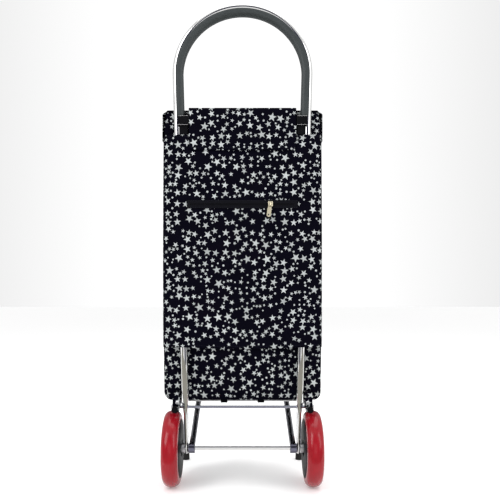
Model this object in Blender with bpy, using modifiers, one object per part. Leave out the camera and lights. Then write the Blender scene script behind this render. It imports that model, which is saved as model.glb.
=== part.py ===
"""Two-wheeled shopping trolley: arched tube handle, bolted base, spoked wheels and a tall bag.

Metres, +Z up.  The user stands behind the trolley, on its -Y side.  Every piece is placed in the
handle's own frame, whose XZ plane holds the tube's centre line, and an empty carries the whole
trolley so that the origin lies on the floor under the middle of its bounding box.
"""
import math

import bmesh
import bpy
from mathutils import Vector

GAP = 0.0003                 # between pieces that touch
RUNNING = 0.00015            # radial clearance on shafts and pins

# handle tube
TUBE_R = 0.0075
TUBE_WALL = 0.0012
ARCH_R = 0.137               # centre line of the arch
ARCH_Z = 0.850               # height of the arch's centre
LEG_FOOT_X = 0.1152          # half distance between the legs at their lower ends
LEG_BELOW_AXLE = 0.009        # how far the legs reach below the axle's centre
FLAT_BELOW_BAG = 0.0018       # the legs start to be pressed flat this far under the bag ...
FLAT_TAPER = 0.022            # ... and are fully flat after this length
FLAT_HALF_X = 0.0036
FLAT_HALF_Y = 0.0098
# grip on the inside of the arch
GRIP_END_Z = 0.7615
GRIP_HALF_Y = 0.0096
GRIP_DEPTH_LEG = 0.0152      # from the tube's centre line inwards, at the ends
GRIP_DEPTH_TOP = 0.0182      # and at the top of the arch
# brackets that carry the bag
HANGER_Z = 0.7415
HANGER_H = 0.0188
HANGER_INNER_X = 0.1112
HANGER_OUTER_X = 0.1332
HANGER_FRONT = 0.0125        # how far its face stands behind the tube's centre
TONGUE_H = 0.0180
SCREW_R = 0.0019
SCREW_HEAD_R = 0.0038
SCREW_HEAD_H = 0.0024
# wheels
WHEEL_R = 0.077
WHEEL_X = 0.1440             # wheel's middle plane
TYRE_HALF_W = 0.0160
BEAD_R = 0.0590
BEAD_HALF_W = 0.0148
RIM_WALL = 0.0045
WEB_HALF_W = 0.0035
BOSS_R = 0.0150
SPOKES = 5
SPOKE_W = 0.0150
WINDOW_INNER_R = 0.0215
WINDOW_ROUND = 0.0040
BUSH_R = 0.0070
AXLE_R = 0.0040
CAP_R = 0.0125
CAP_H = 0.0070
WASHER_R = 0.0095
WASHER_H = 0.0016
# base rails, bolted to the legs
RAIL_R = 0.0060
RAIL_WALL = 0.0011
RAIL_X = 0.1362
WHEEL_TO_RAIL = 0.0022       # clearance over the tyre
RAIL_REAR = 0.0330           # rear stub behind the legs
RAIL_FRONT = 0.2000          # the front legs' plane
RAIL_BEND_R = 0.0300
FOOT_R = 0.0088
FOOT_H = 0.0240
FOOT_BASE = 0.0050
PLUG_LIP_R = 0.0066
PLUG_LIP_H = 0.0040
PLUG_DEPTH = 0.0100
CROSS_ROD_R = 0.0030
NUT_R = 0.0052
NUT_H = 0.0062
WIRE_R = 0.0025
WIRE_OVERHANG = 0.0030
WIRE_PLACES = (("rear", 0.030), ("front", 0.155))
FRONT_ROD_R = 0.0030
FRONT_ROD_TURN = 62.0        # degrees round the rails' bend where the front rod is welded
CLIP_X = 0.0390
CLIP_W = 0.0140
CLIP_R = 0.0052
# stays from the axle to the front rod
STAY_X = 0.1048
STAY_R = 0.0065
STAY_WALL = 0.0012
KNUCKLE_R = 0.0100
KNUCKLE_W = 0.0136
SPIGOT_LEN = 0.0120
STAY_EYE_R = 0.0068
# bag
CLOTH = 0.0020
FLAP_CLOTH = 0.0016
BAG_HALF_W = 0.1622
BAG_DEPTH = 0.2006
BAG_TOP_Z = 0.7520
BAG_CORNER_R = 0.0180
BACK_TOP_Z = 0.7738
BACK_TOP_HALF_W = 0.1160
BOARD_H = 0.0040
HOOP_R = 0.0020
HOOP_DROP = 0.0060
HOOP_CORNER_R = 0.0200
SLEEVE_TOP_Z = 0.7226
SLEEVE_HEM_Z = 0.2860
REAR_FLAP_HALF_W = 0.1106
REAR_FLAP_Z = 0.6910
REAR_FLAP_GAP = 0.0011
STRAP_W = 0.0100
STRAP_CLOTH = 0.0013
STRAP_LAP = 0.0260
STRAP_PLANE = 0.0108         # strap's middle behind the legs
SNAP_R = 0.0034
SNAP_H = 0.0016
# zip
ZIP_HALF_L = 0.1140
ZIP_W = 0.0170
ZIP_Z = 0.5795
ZIP_TAPE = 0.0006
SLIDER_X = 0.0570
SLIDER_W = 0.0095
SLIDER_L = 0.0110
SLIDER_H = 0.0040
BRIDGE_R = 0.0006
BRIDGE_OUT = 0.0036
BRIDGE_HALF = 0.0040
PULL_L = 0.0300
PULL_W = 0.0085
PULL_TOP_W = 0.0072
PULL_H = 0.0012
PULL_TILT = 8.0              # degrees, sideways lean of the hanging pull
PULL_EYE_R = 0.0017
# lid
LID_TOP_Z = 0.7785
LID_CLOTH = 0.0040
LID_HALF_W = 0.1545
LID_SIDE_X = 0.1660
LID_SHOULDER_Z = 0.7570
LID_SIDE_Z = 0.7150
LID_FRONT_Z = 0.6550
LID_FRONT_GAP = 0.0020
LID_SEAM = 0.0016            # the flat top stops this far inside its flaps
TAPE_HALF_L = 0.0500
TAPE_W = 0.0200
TAPE_H = 0.0006
TAPE_Z = 0.6820

# sizes that follow from the ones above
AXLE_Z = WHEEL_R
LEG_FOOT_Z = AXLE_Z - LEG_BELOW_AXLE
CLEAR_R = TUBE_R + GAP
RAIL_Z = AXLE_Z + WHEEL_R + WHEEL_TO_RAIL + RAIL_R
WIRE_Z = RAIL_Z + RAIL_R + GAP + WIRE_R
BAG_Z = WIRE_Z + WIRE_R + GAP
FLAT_TOP_Z = BAG_Z - FLAT_BELOW_BAG
FLAT_Z = FLAT_TOP_Z - FLAT_TAPER
BACK_Y = CLEAR_R                                  # rear face of the bag's back wall
FRONT_Y = BACK_Y + BAG_DEPTH                      # outer face of the bag's front wall
SLEEVE_Y = -CLEAR_R - CLOTH                       # rear face of the sleeve panel
REAR_FLAP_Y = SLEEVE_Y - REAR_FLAP_GAP - FLAP_CLOTH
LID_HINGE_Y = BACK_Y + CLOTH + GAP
LID_FRONT_Y = FRONT_Y + LID_FRONT_GAP + FLAP_CLOTH
BOSS_HALF_W = TYRE_HALF_W
TUBE_Y = -(LID_FRONT_Y - WHEEL_R) / 2
FRONT_ROD_Y = RAIL_FRONT - RAIL_BEND_R + RAIL_BEND_R * math.sin(math.radians(FRONT_ROD_TURN))
FRONT_ROD_Z = RAIL_Z - RAIL_BEND_R + RAIL_BEND_R * math.cos(math.radians(FRONT_ROD_TURN))

SIDES = (("left", -1), ("right", 1))


def leg_x(z):
    """Half distance between the legs' centre lines at a height."""
    share = (z - LEG_FOOT_Z) / (ARCH_Z - LEG_FOOT_Z)
    return LEG_FOOT_X + share * (ARCH_R - LEG_FOOT_X)


# ---- scene, collections and materials ----

def clear_scene():
    for old in list(bpy.data.objects):
        bpy.data.objects.remove(old, do_unlink=True)


def new_collection(name):
    made = bpy.data.collections.new(name)
    bpy.context.scene.collection.children.link(made)
    return made


clear_scene()
PARTS = new_collection("shopping_trolley")
CUTTERS = new_collection("cutters")
ROOT = bpy.data.objects.new("trolley_frame", None)
ROOT.location = (0.0, TUBE_Y, 0.0)
PARTS.objects.link(ROOT)

FINISHES = {
    "chrome": ((0.78, 0.78, 0.80), 0.12, 1.0),
    "dark_chrome": ((0.30, 0.29, 0.30), 0.20, 1.0),
    "zinc": ((0.62, 0.62, 0.64), 0.35, 1.0),
    "grip_rubber": ((0.055, 0.066, 0.064), 0.55, 0.0),
    "black_plastic": ((0.015, 0.015, 0.017), 0.40, 0.0),
    "red_tyre": ((0.52, 0.012, 0.022), 0.22, 0.0),
    "black_rubber": ((0.02, 0.02, 0.02), 0.70, 0.0),
    "star_cloth": ((0.022, 0.022, 0.036), 0.85, 0.0),
    "black_tape": ((0.01, 0.01, 0.012), 0.75, 0.0),
    "board": ((0.10, 0.09, 0.08), 0.80, 0.0),
    "zip_metal": ((0.62, 0.56, 0.40), 0.30, 1.0),
}


def material(name):
    found = bpy.data.materials.get(name)
    if found:
        return found
    colour, rough, metal = FINISHES[name]
    made = bpy.data.materials.new(name)
    made.use_nodes = True
    shader = made.node_tree.nodes["Principled BSDF"]
    shader.inputs["Base Color"].default_value = (*colour, 1.0)
    shader.inputs["Roughness"].default_value = rough
    shader.inputs["Metallic"].default_value = metal
    return made


# ---- shape helpers ----

def place(name, data, finish=None):
    """Link new data as a part, or as a cutter when it has no finish."""
    made = bpy.data.objects.new(name, data)
    made.parent = ROOT
    if finish:
        PARTS.objects.link(made)
        data.materials.append(material(finish))
    else:
        CUTTERS.objects.link(made)
        made.hide_render = True
        made.display_type = "WIRE"
    return made


def mesh_from(name, work):
    """Close a bmesh into mesh data with its faces pointing out."""
    data = bpy.data.meshes.new(name)
    work.to_mesh(data)
    work.free()
    return data


def bevel(piece, width, segments=2):
    made = piece.modifiers.new("round_edges", "BEVEL")
    made.width = width
    made.segments = segments
    made.limit_method = "ANGLE"
    return made


def box(name, low, high, finish=None, edge=0.0):
    """A block between two corners, with rounded edges if asked."""
    low, high = Vector(low), Vector(high)
    work = bmesh.new()
    bmesh.ops.create_cube(work, size=1.0)
    for vert in work.verts:
        vert.co = Vector(vert.co[k] * (high - low)[k] for k in range(3))
    made = place(name, mesh_from(name, work), finish)
    made.location = (low + high) / 2
    if edge:
        bevel(made, edge)
    return made


def bar(name, start, end, radius, finish=None, sides=12):
    """A solid round bar between two points."""
    start, end = Vector(start), Vector(end)
    work = bmesh.new()
    bmesh.ops.create_cone(
        work, cap_ends=True, segments=sides, radius1=radius, radius2=radius, depth=(end - start).length
    )
    made = place(name, mesh_from(name, work), finish)
    made.location = (start + end) / 2
    made.rotation_mode = "QUATERNION"
    made.rotation_quaternion = (end - start).to_track_quat("Z", "Y")
    return made


def turned(name, profile, centre, finish=None, steps=20, axis="X", closed=True, side=1):
    """Turn a profile of (radius, along) points; it starts at its outer, far end and runs down the outside."""
    data = bpy.data.meshes.new(name)
    points = [(radius, 0.0, along) for radius, along in profile]
    edges = [(k, k + 1) for k in range(len(points) - 1)]
    if closed:
        edges.append((len(points) - 1, 0))
    data.from_pydata(points, edges, [])
    made = place(name, data, finish)
    made.location = centre
    if axis == "X":
        made.rotation_euler = (0.0, side * math.pi / 2, 0.0)
    elif axis == "Y":
        made.rotation_euler = (-math.pi / 2, 0.0, 0.0)
    spin = made.modifiers.new("turn", "SCREW")
    spin.steps = steps
    spin.render_steps = steps
    spin.use_merge_vertices = True
    spin.merge_threshold = 0.00001
    return made


def ring_profile(outer, inner, low, high):
    return [(outer, high), (outer, low), (inner, low), (inner, high)]


def curve_data(name, points, radius, bevel_resolution, cyclic=False, caps=True):
    data = bpy.data.curves.new(name, "CURVE")
    data.dimensions = "3D"
    data.bevel_depth = radius
    data.bevel_resolution = bevel_resolution
    data.use_fill_caps = caps and not cyclic
    line = data.splines.new("POLY")
    line.points.add(len(points) - 1)
    for slot, point in zip(line.points, points):
        slot.co = (*point, 1.0)
    line.use_cyclic_u = cyclic
    return data


def rod(name, points, radius, finish, bevel_resolution=2, cyclic=False):
    """A solid rod or wire along a path."""
    return place(name, curve_data(name, points, radius, bevel_resolution, cyclic), finish)


def as_mesh(piece, finish):
    """Turn a curve piece into a mesh piece of the same name, with its caps welded on."""
    bpy.context.view_layer.update()
    graph = bpy.context.evaluated_depsgraph_get()
    data = bpy.data.meshes.new_from_object(piece.evaluated_get(graph))
    name, matrix = piece.name, piece.matrix_local.copy()
    bpy.data.objects.remove(piece, do_unlink=True)
    work = bmesh.new()
    work.from_mesh(data)
    bmesh.ops.remove_doubles(work, verts=work.verts, dist=0.000005)
    bmesh.ops.recalc_face_normals(work, faces=work.faces)
    work.to_mesh(data)
    work.free()
    data.materials.clear()
    made = place(name, data, finish)
    made.name = name
    made.matrix_local = matrix
    return made


def pipe(name, points, radius, wall, finish, bevel_resolution=4, shape=None):
    """A hollow tube, open at both ends; shape may press its outside before the wall is made."""
    made = as_mesh(place(name, curve_data(name, points, radius, bevel_resolution, caps=False), finish), finish)
    if shape:
        for vert in made.data.vertices:
            vert.co = shape(vert.co)
    skin = made.modifiers.new("wall", "SOLIDIFY")
    skin.thickness = wall
    skin.offset = -1.0
    return made


def flat_shape(name, outline, thickness, finish, turn=(0.0, 0.0, 0.0), at=(0.0, 0.0, 0.0), edge=0.0):
    """A flat outline, extruded evenly both ways from its plane."""
    data = bpy.data.curves.new(name, "CURVE")
    data.dimensions = "2D"
    data.fill_mode = "BOTH"
    data.extrude = thickness / 2
    line = data.splines.new("POLY")
    line.points.add(len(outline) - 1)
    for slot, (u, v) in zip(line.points, outline):
        slot.co = (u, v, 0.0, 1.0)
    line.use_cyclic_u = True
    made = as_mesh(place(name, data, finish), finish)
    made.rotation_euler = turn
    made.location = at
    if edge:
        bevel(made, edge, 1)
    return made


def strip(name, path, length, thickness, finish, axis, inwards):
    """Cloth bent along a path of (u, z) points and run straight along X or Y, thickened towards its inner side."""
    work = bmesh.new()
    rows = []
    for end in (-length / 2, length / 2):
        if axis == "Y":
            rows.append([work.verts.new((u, end, z)) for u, z in path])
        else:
            rows.append([work.verts.new((end, u, z)) for u, z in path])
    for k in range(len(path) - 1):
        work.faces.new((rows[0][k], rows[0][k + 1], rows[1][k + 1], rows[1][k]))
    made = place(name, mesh_from(name, work), finish)
    skin = made.modifiers.new("cloth", "SOLIDIFY")
    skin.thickness = thickness
    skin.offset = inwards
    skin.use_even_offset = True
    return made


def cut(piece, cutter, join=False):
    made = piece.modifiers.new("join" if join else "cut", "BOOLEAN")
    made.operation = "UNION" if join else "DIFFERENCE"
    made.object = cutter


def arc(centre, radius, start, end, steps):
    """Points round an arc, angles in degrees."""
    turns = [math.radians(start + (end - start) * k / steps) for k in range(steps + 1)]
    return [(centre[0] + radius * math.cos(t), centre[1] + radius * math.sin(t)) for t in turns]


def rounded_rectangle(low, high, radius, steps=4):
    (x0, y0), (x1, y1) = low, high
    corners = (((x1, y1), -1, -1, 0), ((x0, y1), 1, -1, 90), ((x0, y0), 1, 1, 180), ((x1, y0), -1, 1, 270))
    points = []
    for (x, y), inward_x, inward_y, start in corners:
        points += arc((x + inward_x * radius, y + inward_y * radius), radius, start, start + 90, steps)
    return points


# ---- handle ----

def handle_path(end_z, arch_steps=28, leg_heights=()):
    """Centre line from one height on the left leg, over the arch, to the same height on the right leg."""
    rising = [(-leg_x(z), 0.0, z) for z in (end_z, *leg_heights)]
    over = [(x, 0.0, z) for x, z in arc((0.0, ARCH_Z), ARCH_R, 180, 0, arch_steps)]
    falling = [(-x, y, z) for x, y, z in reversed(rising)]
    return rising + over + falling


def pressed_flat(point):
    """Squash a leg's lower end between the heights where it is pressed."""
    share = min(1.0, max(0.0, (FLAT_TOP_Z - point.z) / (FLAT_TOP_Z - FLAT_Z)))
    share = share * share * (3 - 2 * share)
    middle = math.copysign(leg_x(point.z), point.x)
    across = (point.x - middle) * (1 + share * (FLAT_HALF_X / TUBE_R - 1))
    deep = point.y * (1 + share * (FLAT_HALF_Y / TUBE_R - 1))
    return Vector((middle + across, deep, point.z))


def make_handle():
    steps = 5
    bend = [FLAT_Z + (FLAT_TOP_Z - FLAT_Z) * k / steps for k in range(steps + 1)]
    heights = (AXLE_Z, *bend, 0.35, 0.60)
    tube = pipe(
        "handle_tube", handle_path(LEG_FOOT_Z, 22, heights), TUBE_R, TUBE_WALL, "chrome", 4, pressed_flat
    )
    reach = LEG_FOOT_X + TUBE_R * 2
    cut(tube, bar("axle_hole", (-reach, 0, AXLE_Z), (reach, 0, AXLE_Z), AXLE_R + RUNNING, sides=24))
    cut(tube, bar("cross_hole", (-reach, 0, RAIL_Z), (reach, 0, RAIL_Z), CROSS_ROD_R + RUNNING, sides=20))


def make_grip():
    """Crescent of rubber pressed on the inner half of the arch, deepest at the top."""
    path = [Vector(point) for point in handle_path(GRIP_END_Z, 22, (0.80,))]
    arc_steps = 6
    work = bmesh.new()
    rings = []
    for k, point in enumerate(path):
        along = path[min(k + 1, len(path) - 1)] - path[max(k - 1, 0)]
        inward = Vector((along.z, 0.0, -along.x)).normalized()
        share = max(0.0, (point.z - ARCH_Z) / ARCH_R)
        depth = GRIP_DEPTH_LEG + (GRIP_DEPTH_TOP - GRIP_DEPTH_LEG) * share
        ring = []
        for step in range(arc_steps + 1):
            turn = math.pi * step / arc_steps
            ring.append((depth * math.sin(turn), GRIP_HALF_Y * math.cos(turn)))
        for step in range(arc_steps, -1, -1):
            turn = math.pi * step / arc_steps
            ring.append((CLEAR_R * math.sin(turn), CLEAR_R * math.cos(turn)))
        rings.append([work.verts.new(point + inward * u + Vector((0, v, 0))) for u, v in ring])
    count = len(rings[0])
    for near, far in zip(rings, rings[1:]):
        for k in range(count):
            work.faces.new((near[k], near[(k + 1) % count], far[(k + 1) % count], far[k]))
    half = arc_steps + 1
    for ring in (rings[0], rings[-1]):
        for k in range(half - 1):
            work.faces.new((ring[k], ring[k + 1], ring[-2 - k], ring[-1 - k]))
    bmesh.ops.recalc_face_normals(work, faces=work.faces)
    place("handle_grip", mesh_from("handle_grip", work), "grip_rubber")


def make_hanger(side, sign):
    """Bracket on the leg that the bag's back wall is screwed to."""
    top = HANGER_Z + HANGER_H
    low_x, high_x = sorted((sign * HANGER_INNER_X, sign * HANGER_OUTER_X))
    body = box(
        f"hanger_{side}", (low_x, -HANGER_FRONT, HANGER_Z), (high_x, BACK_Y - GAP, top), "black_plastic", 0.0012
    )
    inner = sign * (HANGER_INNER_X + 0.0015)
    outer = sign * (leg_x(HANGER_Z) - CLEAR_R * 0.6)
    tongue_x = sorted((inner, outer))
    tongue = box(
        f"hanger_tongue_{side}",
        (tongue_x[0], -CLEAR_R, HANGER_Z - TONGUE_H),
        (tongue_x[1], BACK_Y - 2 * GAP, HANGER_Z + 0.004),
    )
    cut(body, tongue, join=True)
    low, high = HANGER_Z - TONGUE_H - 0.01, top + 0.01
    cut(body, bar(f"leg_hole_{side}", (sign * leg_x(low), 0, low), (sign * leg_x(high), 0, high), CLEAR_R, sides=24))
    screw_x, screw_z = hanger_screw_place(sign)
    hole = bar(f"screw_hole_{side}", (screw_x, -0.0055, screw_z), (screw_x, 0.03, screw_z), SCREW_R + GAP)
    cut(body, hole)
    head = BACK_Y + CLOTH + GAP
    tip = -0.0045
    profile = [
        (0.0, head + SCREW_HEAD_H),
        (SCREW_HEAD_R * 0.7, head + SCREW_HEAD_H),
        (SCREW_HEAD_R, head + SCREW_HEAD_H * 0.5),
        (SCREW_HEAD_R, head),
        (SCREW_R, head),
        (SCREW_R, tip),
        (0.0, tip),
    ]
    turned(f"hanger_screw_{side}", profile, (screw_x, 0, screw_z), "zinc", 16, "Y", closed=False)


def hanger_screw_place(sign):
    return sign * (HANGER_INNER_X + 0.0068), HANGER_Z + HANGER_H / 2


# ---- wheels and axle ----

def tyre_profile():
    """Round crown between two beads, run down the outside and back up the seat."""
    crown = []
    steps = 10
    middle = BEAD_R + 0.42 * (WHEEL_R - BEAD_R)
    for k in range(steps + 1):
        turn = math.pi * (0.5 - k / steps)
        across = TYRE_HALF_W * math.sin(turn)
        out = middle + (WHEEL_R - middle) * abs(math.cos(turn)) ** 0.85
        crown.append((out, across))
    crown[0] = (middle, TYRE_HALF_W)
    crown[-1] = (middle, -TYRE_HALF_W)
    beads = [
        (BEAD_R + 0.001, -BEAD_HALF_W - 0.002),
        (BEAD_R, -BEAD_HALF_W),
        (BEAD_R, BEAD_HALF_W),
        (BEAD_R + 0.001, BEAD_HALF_W + 0.002),
    ]
    return crown + beads


def hub_profile():
    seat = BEAD_R - GAP
    inner = seat - RIM_WALL
    bore = BUSH_R + RUNNING
    return [
        (seat, BEAD_HALF_W - 0.001),
        (seat, -BEAD_HALF_W + 0.001),
        (inner, -BEAD_HALF_W + 0.001),
        (inner - 0.001, -WEB_HALF_W),
        (BOSS_R + 0.003, -WEB_HALF_W),
        (BOSS_R, -BEAD_HALF_W),
        (BOSS_R - 0.001, -BOSS_HALF_W),
        (bore, -BOSS_HALF_W),
        (bore, BOSS_HALF_W),
        (BOSS_R - 0.001, BOSS_HALF_W),
        (BOSS_R, BEAD_HALF_W),
        (BOSS_R + 0.003, WEB_HALF_W),
        (inner - 0.001, WEB_HALF_W),
        (inner, BEAD_HALF_W - 0.001),
    ]


def window_outline(index):
    """One opening between two spokes, in the hub's plane."""
    outer = BEAD_R - GAP - RIM_WALL - 0.004
    pitch = 360 / SPOKES
    centre = pitch * index + 90
    points = []
    for radius, order in ((WINDOW_INNER_R, 1), (outer, -1)):
        half = pitch / 2 - math.degrees(math.asin(SPOKE_W / 2 / radius))
        points += arc((0.0, 0.0), radius, centre - order * half, centre + order * half, 4)
    return points


def make_wheel(side, sign):
    centre = (sign * WHEEL_X, 0.0, AXLE_Z)
    turned(f"tyre_{side}", tyre_profile(), centre, "red_tyre", 36)
    hub = turned(f"wheel_hub_{side}", hub_profile(), centre, "black_plastic", 30)
    for index in range(SPOKES):
        window = flat_shape(f"window_{side}_{index}", window_outline(index), 0.03, "black_plastic")
        PARTS.objects.unlink(window)
        CUTTERS.objects.link(window)
        window.hide_render = True
        window.display_type = "WIRE"
        window.rotation_euler = (math.pi / 2, 0.0, math.pi / 2)
        window.location = centre
        cut(hub, window)
    bush = ring_profile(BUSH_R, AXLE_R + RUNNING, -BOSS_HALF_W, BOSS_HALF_W)
    turned(f"wheel_bush_{side}", bush, centre, "black_plastic", 24)
    inner_face = WHEEL_X - BOSS_HALF_W
    leg_face = leg_x(AXLE_Z) + FLAT_HALF_X
    room = inner_face - leg_face
    washer = ring_profile(WASHER_R, AXLE_R + RUNNING, leg_face + GAP, leg_face + room - 2 * GAP)
    turned(f"axle_washer_{side}", washer, (0.0, 0.0, AXLE_Z), "zinc", 24, side=sign)
    cap_face = WHEEL_X + BOSS_HALF_W + GAP * 1.5
    cap = [
        (0.0, cap_face + CAP_H),
        (CAP_R * 0.55, cap_face + CAP_H * 0.92),
        (CAP_R * 0.88, cap_face + CAP_H * 0.55),
        (CAP_R, cap_face + 0.0010),
        (CAP_R, cap_face),
        (AXLE_R + RUNNING, cap_face),
        (AXLE_R + RUNNING, cap_face + CAP_H * 0.62),
        (0.0, cap_face + CAP_H * 0.62),
    ]
    turned(f"axle_cap_{side}", cap, (0.0, 0.0, AXLE_Z), "black_plastic", 28, closed=False, side=sign)


def make_axle():
    reach = WHEEL_X + BOSS_HALF_W + GAP * 1.5 + CAP_H * 0.62 - GAP
    bar("axle", (-reach, 0, AXLE_Z), (reach, 0, AXLE_Z), AXLE_R, "zinc", 24)


# ---- base ----

def rail_path(x):
    top = RAIL_Z
    bend = arc((RAIL_FRONT - RAIL_BEND_R, top - RAIL_BEND_R), RAIL_BEND_R, 90, 0, 8)
    end = FOOT_BASE + GAP
    points = [(-RAIL_REAR, top), (0.0, top), (0.08, top), *bend, (RAIL_FRONT, 0.07), (RAIL_FRONT, end)]
    return [(x, y, z) for y, z in points]


def make_rail(side, sign):
    x = sign * RAIL_X
    rail = pipe(f"base_rail_{side}", rail_path(x), RAIL_R, RAIL_WALL, "chrome", 3)
    span = RAIL_R * 2
    cut(rail, bar(f"rail_hole_{side}", (x - span, 0, RAIL_Z), (x + span, 0, RAIL_Z), CROSS_ROD_R + RUNNING))
    bore = RAIL_R - RAIL_WALL - GAP
    plug = [
        (bore, PLUG_DEPTH),
        (bore, -GAP),
        (PLUG_LIP_R, -GAP),
        (PLUG_LIP_R, -GAP - PLUG_LIP_H * 0.7),
        (PLUG_LIP_R * 0.8, -GAP - PLUG_LIP_H),
        (0.0, -GAP - PLUG_LIP_H),
    ]
    turned(f"rail_plug_{side}", [(0.0, PLUG_DEPTH), *plug], (x, -RAIL_REAR, RAIL_Z), "black_plastic", 20, "Y", False)
    foot = [
        (0.0, FOOT_BASE),
        (RAIL_R + GAP, FOOT_BASE),
        (RAIL_R + GAP, FOOT_H),
        (FOOT_R * 0.85, FOOT_H),
        (FOOT_R, FOOT_H * 0.3),
        (FOOT_R, 0.0),
        (0.0, 0.0),
    ]
    shell = turned(f"foot_{side}", foot, (x, RAIL_FRONT, 0.0), "black_rubber", 24, "Z", False)
    shell.rotation_euler = (0.0, 0.0, 0.0)
    nut_face = RAIL_X + RAIL_R + GAP
    bore = CROSS_ROD_R + RUNNING
    nut = [
        (0.0, nut_face + NUT_H),
        (NUT_R * 0.6, nut_face + NUT_H * 0.9),
        (NUT_R * 0.95, nut_face + NUT_H * 0.5),
        (NUT_R, nut_face),
        (bore, nut_face),
        (bore, nut_face + NUT_H * 0.6),
        (0.0, nut_face + NUT_H * 0.6),
    ]
    turned(f"rail_nut_{side}", nut, (0.0, 0.0, RAIL_Z), "zinc", 18, closed=False, side=sign)


def make_cross_rods():
    reach = RAIL_X + RAIL_R + NUT_H * 0.6
    bar("cross_rod", (-reach, 0, RAIL_Z), (reach, 0, RAIL_Z), CROSS_ROD_R, "chrome", 18)
    reach = RAIL_X - RAIL_R - GAP
    ends = ((-reach, FRONT_ROD_Y, FRONT_ROD_Z), (reach, FRONT_ROD_Y, FRONT_ROD_Z))
    bar("front_rod", *ends, FRONT_ROD_R, "chrome", 18)
    reach = RAIL_X + RAIL_R + WIRE_OVERHANG
    for place_name, y in WIRE_PLACES:
        bar(f"base_wire_{place_name}", (-reach, y, WIRE_Z), (reach, y, WIRE_Z), WIRE_R, "chrome", 14)


def make_base_clip(side, sign):
    """Plastic clip snapped under the rear base wire; it holds the bag's bottom hem."""
    y = WIRE_PLACES[0][1]
    centre = (sign * CLIP_X, y, WIRE_Z)
    turned(
        f"base_clip_{side}",
        ring_profile(CLIP_R, WIRE_R + GAP, -CLIP_W / 2, CLIP_W / 2),
        centre,
        "black_plastic",
        18,
    )
    slot = box(
        f"clip_slot_{side}",
        (centre[0] - CLIP_W, y - 0.01, WIRE_Z + WIRE_R),
        (centre[0] + CLIP_W, y + 0.01, WIRE_Z + 0.01),
    )
    cut(bpy.data.objects[f"base_clip_{side}"], slot)


# ---- stays ----

def make_stay(side, sign):
    low = Vector((sign * STAY_X, 0.0, AXLE_Z))
    high = Vector((sign * STAY_X, FRONT_ROD_Y, FRONT_ROD_Z))
    way = (high - low).normalized()
    start = low + way * (KNUCKLE_R + GAP)
    end = high - way * (STAY_EYE_R + GAP)
    pipe(f"stay_{side}", [start, (start + end) / 2, end], STAY_R, STAY_WALL, "dark_chrome", 3)
    spigot_r = STAY_R - STAY_WALL - GAP
    half = KNUCKLE_W / 2
    knuckle = turned(
        f"stay_knuckle_{side}",
        [(KNUCKLE_R, half - 0.001), (KNUCKLE_R, 0.001 - half), (KNUCKLE_R - 0.001, -half), (AXLE_R + RUNNING, -half),
         (AXLE_R + RUNNING, half), (KNUCKLE_R - 0.001, half)],
        low,
        "black_plastic",
        20,
    )
    cut(knuckle, bar(f"knuckle_spigot_{side}", low + way * (KNUCKLE_R - 0.003), start + way * SPIGOT_LEN, spigot_r), True)
    eye = turned(
        f"stay_eye_{side}",
        ring_profile(STAY_EYE_R, FRONT_ROD_R + RUNNING, -half, half),
        high,
        "black_plastic",
        18,
    )
    cut(eye, bar(f"eye_spigot_{side}", end - way * SPIGOT_LEN, high - way * (STAY_EYE_R - 0.0025), spigot_r), True)


# ---- bag ----

def make_bag_walls():
    low_corners = rounded_rectangle((-BAG_HALF_W, BAG_Z), (BAG_HALF_W, BAG_Z + 0.1), BAG_CORNER_R)
    bottom = [point for point in low_corners if point[1] < BAG_Z + 0.05]
    upright = (math.pi / 2, 0.0, 0.0)
    back = bottom + [
        (BAG_HALF_W, BAG_TOP_Z),
        (BACK_TOP_HALF_W, GRIP_END_Z - GAP),
        (BACK_TOP_HALF_W, BACK_TOP_Z),
        (-BACK_TOP_HALF_W, BACK_TOP_Z),
        (-BACK_TOP_HALF_W, GRIP_END_Z - GAP),
        (-BAG_HALF_W, BAG_TOP_Z),
    ]
    panel = flat_shape("bag_back", back, CLOTH, "star_cloth", upright, (0, BACK_Y + CLOTH / 2, 0))
    for side, sign in SIDES:
        x, z = hanger_screw_place(sign)
        cut(panel, bar(f"back_hole_{side}", (x, 0, z), (x, 0.03, z), SCREW_R + GAP))
    front = bottom + [(BAG_HALF_W, BAG_TOP_Z), (-BAG_HALF_W, BAG_TOP_Z)]
    flat_shape("bag_front", front, CLOTH, "star_cloth", upright, (0, FRONT_Y - CLOTH / 2, 0))
    rear, fore = BACK_Y + CLOTH + GAP, FRONT_Y - CLOTH - GAP
    side_low = BAG_Z + BAG_CORNER_R + 3 * GAP
    for side, sign in SIDES:
        low_x, high_x = sorted((sign * (BAG_HALF_W - CLOTH), sign * BAG_HALF_W))
        box(f"bag_side_{side}", (low_x, rear, side_low), (high_x, fore, BAG_TOP_Z), "star_cloth")
    tray = [(x, z) for x, z in bottom]
    made = strip("bag_bottom", tray, fore - rear, CLOTH, "star_cloth", "Y", 1.0)
    made.location = (0.0, (rear + fore) / 2, 0.0)
    board_x = BAG_HALF_W - BAG_CORNER_R
    board_z = BAG_Z + CLOTH + GAP
    box(
        "base_board",
        (-board_x, rear + CLOTH, board_z),
        (board_x, fore - CLOTH, board_z + BOARD_H),
        "board",
        0.0010,
    )
    inset = CLOTH + GAP + HOOP_R
    ring = rounded_rectangle(
        (-BAG_HALF_W + inset, BACK_Y + inset + SCREW_HEAD_H), (BAG_HALF_W - inset, FRONT_Y - inset), HOOP_CORNER_R, 5
    )
    rod("top_hoop", [(x, y, BAG_TOP_Z - HOOP_DROP) for x, y in ring], HOOP_R, "zinc", 2, cyclic=True)


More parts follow.
